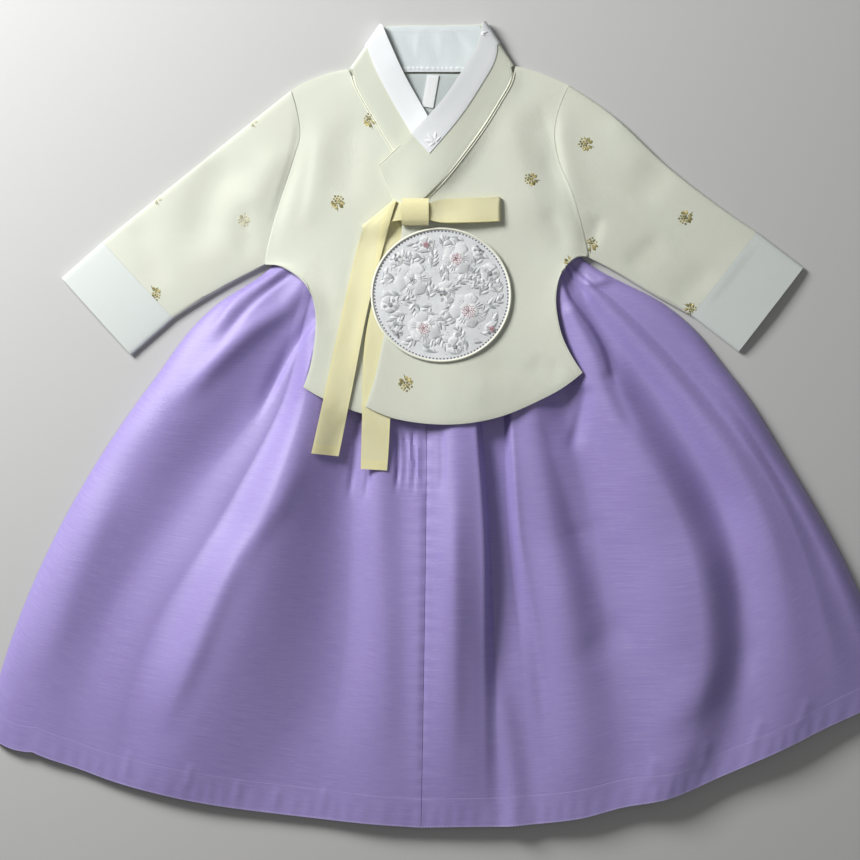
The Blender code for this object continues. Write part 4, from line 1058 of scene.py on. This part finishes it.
class Shade:
    """A value inside a look, worked on with plain arithmetic."""

    def __init__(self, look, socket):
        self.look, self.socket = look, socket

    __add__ = __radd__ = arithmetic("ADD")
    __sub__ = arithmetic("SUBTRACT")
    __rsub__ = arithmetic("SUBTRACT", reflected=True)
    __mul__ = __rmul__ = arithmetic("MULTIPLY")
    __truediv__ = arithmetic("DIVIDE")

    def under(self, limit):
        return self.look.sum("LESS_THAN", self, limit)

    def over(self, limit):
        return self.look.sum("GREATER_THAN", self, limit)

    def sine(self):
        return self.look.sum("SINE", self)

    def size(self):
        return self.look.sum("ABSOLUTE", self)


class Look:
    """A cloth's or thread's material, built up from its weave."""

    def __init__(self, name, **finish):
        self.material = bpy.data.materials.new(name)
        self.material.use_nodes = True
        self.tree = self.material.node_tree
        self.shader = self.tree.nodes["Principled BSDF"]
        self.set(**finish)

    def node(self, kind, settings=None, inputs=None, output=0):
        made = self.tree.nodes.new("ShaderNode" + kind)
        for setting, value in (settings or {}).items():
            setattr(made, setting, value)
        for socket, value in (inputs or {}).items():
            self.join(value, made.inputs[socket])
        return Shade(self, made.outputs[output])

    def join(self, value, socket):
        if isinstance(value, Shade):
            self.tree.links.new(value.socket, socket)
        elif socket.type == "RGBA" and len(value) == 3:
            socket.default_value = (*value, 1.0)
        else:
            socket.default_value = value

    def set(self, **sockets):
        for name, value in sockets.items():
            self.join(value, self.shader.inputs[name.replace("_", " ")])

    def sum(self, operation, *values):
        return self.node("Math", {"operation": operation}, dict(enumerate(values)))

    def larger(self, first, second):
        return self.sum("MAXIMUM", first, second)

    def smaller(self, first, second):
        return self.sum("MINIMUM", first, second)

    def weave(self):
        """Places across and along the cloth, in metres."""
        place = self.node("UVMap", {"uv_map": "weave"})
        return self.node("SeparateXYZ", None, {0: place}), self.node("SeparateXYZ", None, {0: place}, 1)

    def blend(self, share, first, second):
        return self.node("Mix", {"data_type": "RGBA"}, {0: share, 6: first, 7: second}, 2)

    def noise(self, across, along_it, detail=2.0, roughness=0.5):
        """Uneven cloth: across and along_it are places already scaled to the size of its marks."""
        place = self.node("CombineXYZ", None, {0: across, 1: along_it})
        sockets = {"Vector": place, "Scale": 1.0, "Detail": detail, "Roughness": roughness}
        return self.node("TexNoise", None, sockets)

    def threads(self, across, along_it, pitch):
        """The height of a plain weave of threads a pitch apart."""
        turn = math.tau / pitch
        return (across * turn).sine() * (along_it * turn).sine()

    def bump(self, height, distance, strength):
        sockets = {"Height": height, "Distance": distance, "Strength": strength}
        self.set(Normal=self.node("Bump", None, sockets))


def satin(name, colour, warm):
    """A smooth close-woven satin, a little uneven in colour."""
    look = Look(name, Roughness=0.5, Sheen_Weight=0.25, Sheen_Roughness=0.4, Specular_IOR_Level=0.35)
    across, along_it = look.weave()
    cloud = look.noise(across * 22, along_it * 16)
    fine = look.noise(across * 900, along_it * 260, 1.0)
    look.set(Base_Color=look.blend(cloud * 1.4 - 0.2, colour, warm))
    look.bump(look.threads(across, along_it, SATIN_PITCH) + fine * 1.5, distance=0.00012, strength=0.6)
    return look.material


def gauze(name, colour, edge_colour, width, single, double):
    """A sheer ribbon, denser where its sides and end are turned in."""
    look = Look(name, Roughness=0.55, Sheen_Weight=0.3, Specular_IOR_Level=0.3)
    across, along_it = look.weave()
    side = across.under(GAUZE_SIDE) + across.over(width - GAUZE_SIDE)
    turned = look.larger(side, along_it.under(GAUZE_END))
    cloud = look.noise(across * 60, along_it * 25)
    tone = look.blend(turned * 0.85, look.blend(cloud, colour, edge_colour), edge_colour)
    look.set(Base_Color=tone, Alpha=turned * (double - single) + single)
    look.bump(look.threads(across, along_it, GAUZE_PITCH) + cloud * 2.0, distance=0.0001, strength=0.7)
    return look.material


def slub_silk(name, colour, deep, pale):
    """Silk with uneven thicker threads across it, a stitched hem and a tiny finished edge."""
    look = Look(name, Roughness=0.45, Specular_IOR_Level=0.7, Sheen_Weight=0.3, Sheen_Roughness=0.35,
                Sheen_Tint=(0.93, 0.9, 1.0))
    across, along_it = look.weave()
    slub = look.noise(across * 38, along_it * 900, 3.0, 0.6)
    nub = look.noise(across * 110 + 7.3, along_it * 2100 + 3.1, 1.0)
    rare = look.larger(look.smaller((nub - 0.66) * 9.0, 1.0), 0.0)
    cloud = look.noise(across * 13, along_it * 9)
    hem = along_it.under(HEM_DEPTH)
    stitch = (along_it - HEM_STITCH).size().under(STITCH_WIDTH)
    edge = along_it.under(EDGE_WIDTH) * (across * (math.tau / EDGE_PITCH)).sine().over(0.1)
    tone = look.blend(slub * 1.6 - 0.35, deep, colour)
    tone = look.blend(cloud * 0.5 + hem * 0.1, tone, colour)
    tone = look.blend(look.smaller(rare * 0.3 + stitch * 0.12 + edge * 0.5, 1.0), tone, pale)
    look.set(Base_Color=tone)
    height = slub * 1.2 + rare * 0.8 + hem * 1.5 + look.threads(across, along_it, SILK_PITCH) * 0.3
    look.bump(height, distance=0.00016, strength=0.55)
    return look.material


def badge_satin(name, ground, pale, hole_shade_colour):
    """Silver-lilac satin, with a ring of stitch holes inside its rim, dented and painted near black as shade.
    """
    look = Look(name, Roughness=0.34, Specular_IOR_Level=0.5, Sheen_Weight=0.2)
    across, along_it = look.weave()
    x = across / (BADGE_RADII[0] * MM)
    y = along_it / (BADGE_RADII[1] * MM)
    radius = look.sum("SQRT", x * x + y * y)
    angle = look.sum("ARCTAN2", y, x)
    hole = (radius - HOLE_RING).size().under(HOLE_SIZE) * (angle * HOLE_COUNT).sine().over(0.1)
    cloud = look.noise(across * 90, along_it * 120, 3.0)
    look.set(Base_Color=look.blend(hole, look.blend(cloud, ground, pale), hole_shade_colour))
    look.bump(look.threads(across, along_it, GAUZE_PITCH) * 0.5 - hole * 6.0, distance=0.0002, strength=0.7)
    return look.material


def stitched(name, low, high, pitch, **finish):
    """Close stitches in a thread that runs from one tone to another, piece by piece."""
    look = Look(name, **finish)
    across, along_it = look.weave()
    tone = look.node("Attribute", {"attribute_name": "tone"}, None, 2)
    thread = (along_it * (math.tau / pitch)).sine() * 0.5 + 0.5
    uneven = look.noise(across * 300, along_it * 1700, 1.0)
    look.set(Base_Color=look.blend(thread * 0.12 + uneven * 0.12, look.blend(tone, low, high), low))
    look.bump(thread + uneven, distance=0.00018, strength=0.8)
    return look.material


def plain(name, colour, roughness):
    """A matt floor with the faintest unevenness."""
    look = Look(name, Roughness=roughness, Specular_IOR_Level=0.2)
    place = look.node("TexCoord", None, None, 3)
    cloud = look.node("TexNoise", None, {"Vector": place, "Scale": 3.0, "Detail": 2.0})
    look.set(Base_Color=look.blend(cloud * 0.3, colour, tuple(part * 0.93 for part in colour)))
    return look.material


def make_looks():
    return {
        "jacket": satin("ivory green satin", (0.71, 0.745, 0.64), (0.72, 0.735, 0.61)),
        "collar": satin("ivory green band", (0.70, 0.735, 0.62), (0.715, 0.735, 0.605)),
        "cuff": satin("grey white satin", (0.70, 0.75, 0.72), (0.69, 0.735, 0.71)),
        "strip": satin("white silk", (0.90, 0.92, 0.93), (0.88, 0.91, 0.93)),
        "facing": satin("white facing", (0.70, 0.75, 0.76), (0.64, 0.70, 0.72)),
        "lining": satin("grey lining", (0.52, 0.57, 0.56), (0.48, 0.53, 0.53)),
        "label": satin("white tape", (0.82, 0.84, 0.84), (0.80, 0.82, 0.82)),
        "ribbon": gauze("yellow gauze", (0.92, 0.89, 0.60), (0.92, 0.86, 0.47), RIBBON_WIDTH, 0.9, 0.96),
        "knot": gauze("yellow gauze knot", (0.88, 0.82, 0.46), (0.90, 0.84, 0.48), KNOT_WIDTH, 0.95, 0.96),
        # the last colour, near black, is painted shade inside the stitch holes
        "badge": badge_satin("silver lilac satin", (0.66, 0.68, 0.70), (0.86, 0.88, 0.89),
                             (0.10, 0.10, 0.13)),
        "floss": stitched("white and silver floss", (0.44, 0.46, 0.48), (0.90, 0.91, 0.91), GAUZE_PITCH,
                          Roughness=0.36, Specular_IOR_Level=0.6, Sheen_Weight=0.2),
        "pink floss": stitched("pink floss", (0.64, 0.32, 0.37), (0.86, 0.62, 0.66), FLOSS_PITCH,
                               Roughness=0.5),
        "gold": stitched("gold thread", (0.16, 0.16, 0.06), (0.62, 0.52, 0.22), FLOSS_PITCH,
                         Roughness=0.4, Metallic=0.25),
        # The gold thread again, paler: a painted highlight for the sprigs on the lit left sleeve
        "pale gold": stitched("gold thread with painted highlight", (0.42, 0.40, 0.24), (0.86, 0.84, 0.62), FLOSS_PITCH,
                              Roughness=0.4, Metallic=0.1),
        "cord": stitched("cream cord", (0.74, 0.75, 0.58), (0.90, 0.90, 0.76), CORD_PITCH, Roughness=0.5),
        "white": stitched("white floss", (0.80, 0.84, 0.86), (0.96, 0.97, 0.98), FLOSS_PITCH, Roughness=0.4),
        "skirt": slub_silk("lavender slub silk", (0.385, 0.318, 0.645), (0.265, 0.20, 0.52),
                           (0.62, 0.57, 0.82)),
        "floor": plain("pale floor", (0.56, 0.56, 0.55), 0.9),
    }


# ---- Sewing and embroidery ---------------------------------------------------------------------

# How far a petal's edge is above its ground, and how far its root is sunk in it
FLOAT = 0.05
SUNK = 0.2
# A cord's thickness at its ends, and of its hollow, as shares of its own
CORD_TAPER = 0.3
CORD_CORE = 0.3
RIM_INSET = 1.3
RIM_RADIUS = 1.05


def placed(x, y, angle, ahead, aside=0.0):
    """A plan point that lies ahead and to the left of x, y, looking at an angle."""
    cos, sin = math.cos(angle), math.sin(angle)
    return x + ahead * cos - aside * sin, y + ahead * sin + aside * cos


def lifted(surface, rise):
    """The surface given, a little higher."""

    def higher(x, y):
        found = surface(x, y)
        return None if found is None else found + rise

    return higher


def petal(patch, surface, x, y, angle, length, width, height, tone, blunt, start=0.0, bend=0.0, cells=(6, 4)):
    """A raised petal or leaf that grows from x, y at an angle, on the surface given. A larger blunt
    moves its widest place towards its tip, start leaves out its root, and bend curves it."""
    t = np.linspace(start, 1.0, cells[0] + 1)[:, None]
    s = np.linspace(-1.0, 1.0, cells[1] + 1)[None, :]
    half = width / 2 * np.sin(math.pi * np.clip(t, 0.02, 0.97) ** blunt) ** 0.75
    ahead = t * length
    px, py = placed(x, y, angle, ahead, s * half + bend * length * t * t)
    dome = height * (1 - s * s) ** 0.5 * np.sin(math.pi * np.clip(t, 0.03, 0.97)) ** 0.5
    ground = np.empty(px.shape)
    for place in np.ndindex(px.shape):
        found = surface(px[place], py[place])
        if found is None:
            return
        ground[place] = found
    outer = np.dstack([px, py, ground + FLOAT + dome])
    inner = np.dstack([px, py, ground - SUNK])
    patch.add(outer, inner, layered(ahead, s * half), tone, turned=True)


def bead(patch, surface, x, y, radius, tone, height=0.9):
    """A small round stitch. Its height is a share of its radius."""
    found = surface(x, y)
    if found is None:
        return
    rings = np.linspace(1.0, 0.12, 3)[:, None]
    angles = full_turn(7)
    px, py = x + radius * rings * np.cos(angles), y + radius * rings * np.sin(angles)
    outer = layered(px, py, found + radius * height * np.sqrt(1 - (rings * 0.98) ** 2))
    patch.add(outer, layered(px, py, found - SUNK), joined_up(outer)[..., :2], tone, ring=True, turned=True)


def cord(patch, path, radius, tone=1.0, closed=False, sides=8):
    """A round thread along a path of points, tapered at its ends unless it is closed."""
    path = np.asarray(path, float)
    ahead = np.roll(path, -1, 0) - np.roll(path, 1, 0) if closed else np.gradient(path, axis=0)
    ahead = unit(ahead)
    aside = unit(np.cross(ahead, (0.0, 0.0, 1.0)))
    above = np.cross(aside, ahead)
    angles = full_turn(sides)[None, :, None]
    circle = np.cos(angles) * aside[:, None] + np.sin(angles) * above[:, None]
    size = np.full(len(path), radius)
    if closed:
        path, circle, size = (np.concatenate([part, part[:1]]) for part in (path, circle, size))
    else:
        size[[0, -1]] *= CORD_TAPER
    around = circle * size[:, None, None]
    length = np.concatenate([[0], np.cumsum(np.linalg.norm(np.diff(path, axis=0), axis=1))])
    weave = layered(np.linspace(0, math.tau * radius, sides + 1)[None, :], length[:, None])
    patch.add(path[:, None] + around, path[:, None] + around * CORD_CORE, weave, tone, ring=True, turned=True)


SPRIGS = (
    # x, y, angle of the stem in degrees, size, thread, cloth that it is woven in
    (-66.2, 278.8, 285, 1.0, "gold", "front_inner"),
    (-95.7, 203.3, 268, 1.05, "gold", "front_inner"),
    (81.9, 224.5, 350, 1.0, "gold", "front_outer"),
    (-33.1, 36.8, 98, 1.1, "gold", "front_outer"),
    # The paler gold on the left sleeve is a painted highlight: the same gold thread, where the key light
    # falls
    (-175.7, 278.8, 300, 0.95, "pale gold", "sleeve_left"),
    (-263.1, 207.9, 290, 0.95, "pale gold", "sleeve_left"),
    (-182.2, 186.8, 75, 0.95, "pale gold", "sleeve_left"),
    (-264.0, 119.6, 110, 1.0, "gold", "sleeve_left"),
    (132.0, 257.1, 335, 1.05, "gold", "sleeve_right"),
    (223.6, 189.5, 35, 1.05, "gold", "sleeve_right"),
    (137.1, 164.7, 260, 1.0, "gold", "sleeve_right"),
    (116.8, 148.1, 100, 0.85, "gold", "front_outer"),
    (228.2, 105.8, 140, 0.9, "gold", "sleeve_right"),
)
# A berry's radius, and each ring's reach and number of berries
BERRY = 1.12
BERRY_RINGS = ((0.0, 1), (2.3, 6), (4.5, 11))
# How far behind the leaves' foot the berries are, and how wide their outer ring is open at the stem
BERRIES_BACK = 1.2
STEM_GAP = 0.35
SPRIG_LEAVES = (
    # lean, reach, length, width
    (-0.95, 3.4, 4.6, 3.1), (0.9, 3.4, 4.8, 3.2), (-0.25, 4.4, 4.2, 2.6), (-1.6, 4.6, 4.0, 2.6),
    (1.65, 4.4, 4.2, 2.6),
)


def sprigs(wardrobe):
    """Small gold clusters of berries with leaves, scattered over the jacket; those on the left sleeve are
    paler, a painted highlight.
    """
    patches = {}
    for number, (x, y, stem, size, thread, node) in enumerate(SPRIGS):
        patch = patches.setdefault((thread, node), Patchwork())
        sprig(patch, wardrobe.bare(node), x, y, math.radians(stem), size, number)
    for (thread, node), patch in patches.items():
        if patch.size:
            wardrobe.trim(thread.replace(" ", "_") + "_sprigs_" + node, patch, thread, "jacket", node)


def sprig(patch, surface, x, y, down, size, number):
    """A ball of berries and a fan of leaves on a stem that points down."""
    centre = placed(x, y, down, -BERRIES_BACK * size)
    for ring, (reach, count) in enumerate(BERRY_RINGS):
        for k in range(count):
            spread = down + math.tau * (k + 0.5) / count
            if ring == 2 and math.cos(spread - down) > STEM_GAP:
                continue
            uneven = 1.0 + 0.12 * math.sin(3.7 * k + 1.9 * number + ring)
            tone = (0.15, 0.95, 0.5, 0.8, 0.3)[(2 * k + ring + number) % 5]
            berry = placed(*centre, spread, reach * uneven * size)
            bead(patch, surface, *berry, BERRY * size * (1.1 - 0.1 * ring), tone, 0.3)
    for leaf, (lean, reach, length, width) in enumerate(SPRIG_LEAVES):
        tone = (0.9, 0.6, 0.25, 0.75, 0.5)[(leaf + number) % 5]
        foot = placed(x, y, down + lean * 0.75, 0.55 * reach * size)
        petal(patch, surface, *foot, down + lean, length * size, width * size, 0.28, tone, 1.2, cells=(5, 4))
    foot = placed(x, y, down, 2.0 * size)
    petal(patch, surface, *foot, down, 6.4 * size, 0.8, 0.25, 0.05, 1.0, bend=0.08, cells=(4, 2))


BLOSSOMS = (
    # x, y, radius, petals, turn, inner petals, centre: p pink, s silver
    (-26, 13, 16.5, 6, 0.2, 5, "s"),
    (25, -15, 17, 7, 0.5, 5, "p"),
    (14, 33, 14.5, 6, 0.1, 5, "p"),
    (-16, -31, 15, 6, 0.7, 5, "p"),
    (3, 2, 10.5, 5, 0.3, 5, "s"),
    (-47, -9, 8.5, 5, 0.9, 0, "s"),
    (44, 20, 9, 5, 0, 0, "s"),
    (12, -47, 8.5, 5, 0.4, 0, "s"),
    (-14, 46, 8, 5, 0.6, 0, "p"),
    (46, -31, 7, 5, 0.2, 0, "p"),
    (-42, 33, 7, 5, 0.5, 0, "s"),
    (-41, -35, 6, 5, 0.1, 0, "s"),
    (34, 42, 6, 5, 0.8, 0, "s"),
)
SPRAYS = (
    # x, y, direction in degrees, length, bend, leaf pairs
    (-10, 24, 65, 15, 0.25, 4), (-36, 0, 195, 15, -0.3, 4), (-32, 29, 115, 17, 0.2, 4),
    (-8, -9, 215, 15, 0.25, 4), (-31, -17, 195, 21, 0.3, 5), (-26, -43, 225, 12, -0.3, 3),
    (-1, -36, 285, 15, 0.3, 4), (14, -30, 285, 13, -0.25, 3), (40, -9, 5, 17, 0.3, 4),
    (27, 5, 45, 17, -0.3, 4), (27, 35, 25, 14, -0.35, 3), (1, 43, 85, 13, -0.2, 3),
    (0, 14, 80, 15, -0.25, 3), (9, -8, 250, 16, -0.3, 4), (-41, 14, 165, 15, 0.3, 4),
    (35, -34, 325, 9, 0.2, 2), (-47, -20, 245, 15, 0.25, 4), (51, 0, 80, 12, 0.25, 3),
    (24, 20, 355, 14, 0.3, 3), (-22, 46, 150, 13, 0.3, 3), (-2, -52, 190, 13, -0.2, 3),
    (30, 26, 60, 13, 0.3, 3), (-53, 8, 100, 15, -0.25, 4), (27, -42, 320, 13, 0.25, 3),
    (22, -38, 250, 14, 0.2, 3), (-24, -5, 260, 12, 0.3, 3), (13, 12, 10, 15, 0.35, 4),
    (-12, 33, 185, 13, -0.3, 3), (-32, -28, 170, 13, 0.3, 3), (51, -14, 280, 12, -0.2, 3),
    (-3, -17, 190, 10, 0.3, 2), (41, 6, 20, 12, -0.3, 3), (-46, 22, 75, 12, 0.2, 3),
    (5, 52, 20, 13, -0.3, 3), (-30, 41, 110, 12, 0.3, 3), (8, -22, 195, 12, -0.3, 3),
)
INNER_FIELD = 0.915
FILLING_SPRAYS = 26
LOOSE_KNOTS = 64
PETAL_TIP = 1.75
LEAF_TONES = (0.1, 0.85, 0.4, 0.95)
# How far the badge's height is to its width, and the turn that spreads places evenly over a round
BADGE_SQUASH = 0.96
GOLDEN_TURN = 2.39996


def blossom(patch, surface, x, y, radius, petals, turn, inner):
    """A flower head of broad, round, overlapping petals, with a cup of smaller ones on it."""
    vein_ground, cup_ground = lifted(surface, 0.8), lifted(surface, 0.5)
    for k in range(petals):
        angle = turn + math.tau * k / petals
        length = radius * (1.0 + 0.1 * math.sin(5.1 * k + radius))
        width = 1.95 * radius * math.sin(math.pi / petals)
        petal(patch, surface, x, y, angle, length, width, 0.7 + 0.45 * (k % 2), 0.95 - 0.25 * (k % 2),
              PETAL_TIP, 0.1, cells=(9, 8))
        for lean, reach, size in ((0.0, 0.34, 0.5), (0.2, 0.4, 0.36), (-0.2, 0.4, 0.36)):
            foot = placed(x, y, angle + lean, reach * radius)
            petal(patch, vein_ground, *foot, angle + lean, radius * size, 0.6, 0.35, 0.12, 1.0, cells=(5, 2))
    for k in range(inner):
        angle = turn + 0.5 + math.tau * k / inner
        petal(patch, cup_ground, x, y, angle, radius * 0.55, radius * 0.62, 0.8, 1.0 - 0.15 * (k % 2),
              PETAL_TIP, 0.1, cells=(7, 6))


def spray(patch, surface, x, y, direction, length, bend, pairs):
    """A bent stem with pairs of leaves, one side of it darker than the other."""
    angle = math.radians(direction)
    petal(patch, surface, x, y, angle, length, 0.9, 0.5, 0.0, 1.0, bend=bend, cells=(8, 2))
    for k in range(pairs):
        t = (k + 0.8) / (pairs + 0.5)
        foot = placed(x, y, angle, t * length, bend * length * t * t)
        turn = angle + math.atan(2 * bend * t)
        for side in (-1, 1):
            tone = LEAF_TONES[(k + (side > 0) + pairs) % len(LEAF_TONES)]
            petal(patch, surface, *foot, turn + side * (0.85 - 0.25 * t), 8.6 - 3.2 * t, 3.1, 0.6, tone, 0.9,
                  bend=-0.12 * side, cells=(6, 4))


def spread_evenly(count, reach, start, first=0.5):
    """Turns and distances of places spread evenly over a round as wide as reach."""
    for k in range(count):
        yield k, GOLDEN_TURN * k + start, reach * math.sqrt((k + first) / count)


def on_badge(angle, reach):
    return BADGE_CENTRE[0] + reach * math.cos(angle), BADGE_CENTRE[1] + reach * math.sin(angle) * BADGE_SQUASH


def badge_embroidery(wardrobe):
    """A dense field of blossoms and leaf sprays in white and silver floss, with pink centres."""
    floss, pink = Patchwork(), Patchwork()

    def surface(px, py):
        off = math.hypot((px - BADGE_CENTRE[0]) / BADGE_RADII[0], (py - BADGE_CENTRE[1]) / BADGE_RADII[1])
        return wardrobe.on("badge", px, py) if off < INNER_FIELD else None

    for x, y, direction, length, bend, pairs in SPRAYS:
        spray(floss, surface, x + BADGE_CENTRE[0], y + BADGE_CENTRE[1], direction, length, bend, pairs)
    for k, angle, reach in spread_evenly(FILLING_SPRAYS, 54.0, 1.1):
        length, bend = 11.0 + 1.5 * (k % 3), 0.25 - 0.5 * (k % 2)
        spray(floss, surface, *on_badge(angle, reach), 77 * k % 360, length, bend, 3)
    for number, (x, y, radius, petals, turn, inner, centre) in enumerate(BLOSSOMS):
        x, y = x + BADGE_CENTRE[0], y + BADGE_CENTRE[1]
        blossom(floss, surface, x, y, radius, petals, turn, inner)
        is_pink = centre == "p"
        patch, count, share = (pink, round(2.2 * radius), 0.36) if is_pink else (floss, 16, 0.22)
        for k, angle, reach in spread_evenly(count, radius * share, number, 0.4):
            knot = placed(x, y, angle, reach)
            bead(patch, lifted(surface, 1.35), *knot, 0.55, (k % 3) / 2 if is_pink else 0.15)
    for _, angle, reach in spread_evenly(LOOSE_KNOTS, 56.0, 0.5):
        for j in range(4):
            knot = placed(*on_badge(angle, reach), angle * 3 + j * 1.7, 1.5)
            bead(floss, surface, *knot, 0.5, 0.1 + 0.4 * (j % 2))
    wardrobe.trim("badge_floss", floss, "floss", "badge", "badge")
    wardrobe.trim("badge_pink_knots", pink, "pink floss", "badge", "badge")


def badge_rim(wardrobe):
    rim = Patchwork()
    angles = full_turn(180)
    x = BADGE_CENTRE[0] + (BADGE_RADII[0] - RIM_INSET) * np.cos(angles)
    y = BADGE_CENTRE[1] + (BADGE_RADII[1] - RIM_INSET) * np.sin(angles)
    z = [wardrobe.on("badge", *place) + 0.1 for place in zip(x, y)]
    cord(rim, np.stack([x, y, z], 1), RIM_RADIUS, closed=True, sides=10)
    wardrobe.trim("badge_rim", rim, "cord", "badge", "badge")


def collar_piping(wardrobe):
    """Two cords beside each side's band: how far out and how thick each is."""
    for name, table, first, last, node, cords in (
        ("right_piping", OUTER_BAND, 0.05, 6.0, "front_outer", ((0.6, 0.8), (2.6, 0.5))),
        ("left_piping", INNER_BAND, 0.1, 4.0, "front_inner", ((0.45, 0.75), (2.3, 0.4))),
    ):
        piping = Patchwork()
        edge = through(table, steps(first, last, BAND_STEP))[:, 2:]
        ahead = unit(np.gradient(edge, axis=0))
        outward = np.stack([-ahead[:, 1], ahead[:, 0]], 1)
        outermost = edge + outward * cords[-1][0]
        for aside, radius in cords:
            path = []
            for here, further in zip(edge + outward * aside, outermost):
                heights = [z for z in (wardrobe.on(node, *here), wardrobe.on(node, *further)) if z]
                if heights:
                    path.append((*here, max(heights) + radius * 0.55))
            cord(piping, path, radius)
        wardrobe.trim("collar_" + name, piping, "cord", "jacket", node)


def collar_edging(wardrobe):
    """A pale cord along the outer band's neck side and squared end: a painted highlight on the band's rolled
    edge.
    """
    highlight_cord = Patchwork()
    neck_edge = through(OUTER_BAND, steps(4.6, 6.0, BAND_STEP))[:, :2]
    end = mix(neck_edge[-1], np.array(OUTER_BAND[-1][2:]), np.linspace(0, 0.95, 16)[:, None])
    middle = np.mean(np.array(OUTER_BAND[-2:]).reshape(-1, 2), axis=0)
    for line in (neck_edge, end):
        # each cord is paler than the band, standing in for the edge's highlight: painted highlight
        inside = line + 0.5 * unit(middle - line)
        cord(highlight_cord, [(x, y, wardrobe.on("collar", x, y) - 0.05) for x, y in inside], 0.42)
    wardrobe.trim("collar_edging", highlight_cord, "cord", "jacket", "collar")


def neck_tape(wardrobe):
    """The puckered tape along the facing's seam, and a row of stitches near its neck edge."""
    tape = Patchwork()
    x, y = np.meshgrid(np.linspace(-44.5, 25.5, 90), np.linspace(328.0, 323.6, 6))
    pucker = 0.22 * np.sin(x * 1.4 + 1.2 * np.sin(x / 4.0)) * ease((y - 325.0) / 2.5)
    ground = np.array([[wardrobe.on("collar_facing", *place) or FACING_HEIGHT for place in zip(*row)]
                       for row in zip(x, y)])
    crown = 0.45 * np.sin(math.pi * np.clip((y - 323.6) / 4.4, 0.03, 0.97)) ** 0.5
    outer = np.dstack([x, y, ground + 0.1 + crown + pucker])
    tape.add(outer, np.dstack([x, y, ground - 0.3]), outer[..., :2])
    plan = along(((-44.0, 361.2), (-20.0, 360.6), (4.0, 360.8), (27.0, 362.0)), np.linspace(0, 1, 90))
    path = np.array([(*place, wardrobe.top(*place)[0]) for place in plan])
    for k in range(0, 88, 3):
        cord(tape, path[k : k + 3], 0.26, 0.3, sides=6)
    wardrobe.trim("neck_tape", tape, "white", "strip", "collar_facing")


def strip_flowers(wardrobe):
    """Two small white flowers on the strip. A flower's petals are lean, length and width."""
    white = Patchwork()
    for x, y, turn, size in ((-6.5, 258.5, 2.3, 1.3), (36.0, 357.5, 1.1, 0.9)):
        for lean, length, width in ((0.0, 8.0, 3.0), (0.75, 7.4, 2.9), (-0.8, 7.0, 2.8), (1.5, 5.6, 2.4),
                                    (-1.6, 5.4, 2.2), (2.5, 6.2, 1.4), (3.4, 6.6, 1.2)):
            petal(white, wardrobe.bare("neck_strip"), x, y, turn + lean, length * size, width * size,
                  0.5, 0.9, 0.7, cells=(5, 4))
    wardrobe.trim("strip_flowers", white, "white", "strip", "neck_strip")


# ---- Floor, light and camera -------------------------------------------------------------------

# All of these are in metres
FLOOR_WIDTH, FLOOR_HEIGHT = 8.0, -0.0004
# The camera looks straight down, over the middle of the width that it takes in
CAMERA_PLACE = (-0.01104, -0.00552, 2.6)
SEEN_WIDTH = 0.7912


def set_stage(looks):
    bpy.ops.mesh.primitive_plane_add(size=FLOOR_WIDTH, location=(0, 0, FLOOR_HEIGHT))
    floor = bpy.context.object
    floor.name = "floor"
    floor.data.materials.append(looks["floor"])


def softbox(name, place, size, power):
    """A soft square light that looks at the middle of the outfit."""
    light = bpy.data.lights.new(name, "AREA")
    light.energy = power
    light.size = size
    box = bpy.data.objects.new(name, light)
    box.location = place
    box.rotation_euler = (-Vector(place)).to_track_quat("-Z", "Y").to_euler()
    bpy.context.scene.collection.objects.link(box)


def set_light():
    softbox("key light", place=(-1.1, 1.02, 0.9), size=0.65, power=40.0)
    softbox("fill light", place=(0.6, -0.3, 2.4), size=2.0, power=6.0)
    world = bpy.data.worlds.new("soft room")
    bpy.context.scene.world = world
    world.use_nodes = True
    sky = world.node_tree.nodes["Background"]
    sky.inputs["Color"].default_value = (1.0, 1.0, 1.0, 1.0)
    sky.inputs["Strength"].default_value = 0.11
    bpy.context.scene.view_settings.view_transform = "Standard"


def set_camera():
    lens = bpy.data.cameras.new("camera")
    lens.sensor_width = 36.0
    lens.lens = lens.sensor_width * CAMERA_PLACE[2] / SEEN_WIDTH
    lens.clip_end = 50.0
    camera = bpy.data.objects.new("camera", lens)
    camera.location = CAMERA_PLACE
    bpy.context.scene.collection.objects.link(camera)
    bpy.context.scene.camera = camera


def main():
    set_camera()
    looks = make_looks()
    set_stage(looks)
    set_light()
    wardrobe = Wardrobe(looks)
    jacket_back(wardrobe)
    skirt_back(wardrobe)
    waistband(wardrobe)
    skirt_front(wardrobe, "skirt_front_left", LEFT_FOLDS)
    skirt_front(wardrobe, "skirt_front_right", RIGHT_FOLDS)
    collar(wardrobe)
    jacket_fronts(wardrobe)
    neck_inside(wardrobe)
    ribbon_tails(wardrobe)
    ribbon_loop(wardrobe)
    ribbon_knot(wardrobe)
    badge(wardrobe)
    sleeve(wardrobe, "sleeve_left", "cuff_left", 0, LEFT_SLEEVE, -1)
    sleeve(wardrobe, "sleeve_right", "cuff_right", 1, RIGHT_SLEEVE, 1)
    for sew in (sprigs, badge_embroidery, badge_rim, collar_piping, collar_edging, neck_tape, strip_flowers):
        sew(wardrobe)


main()
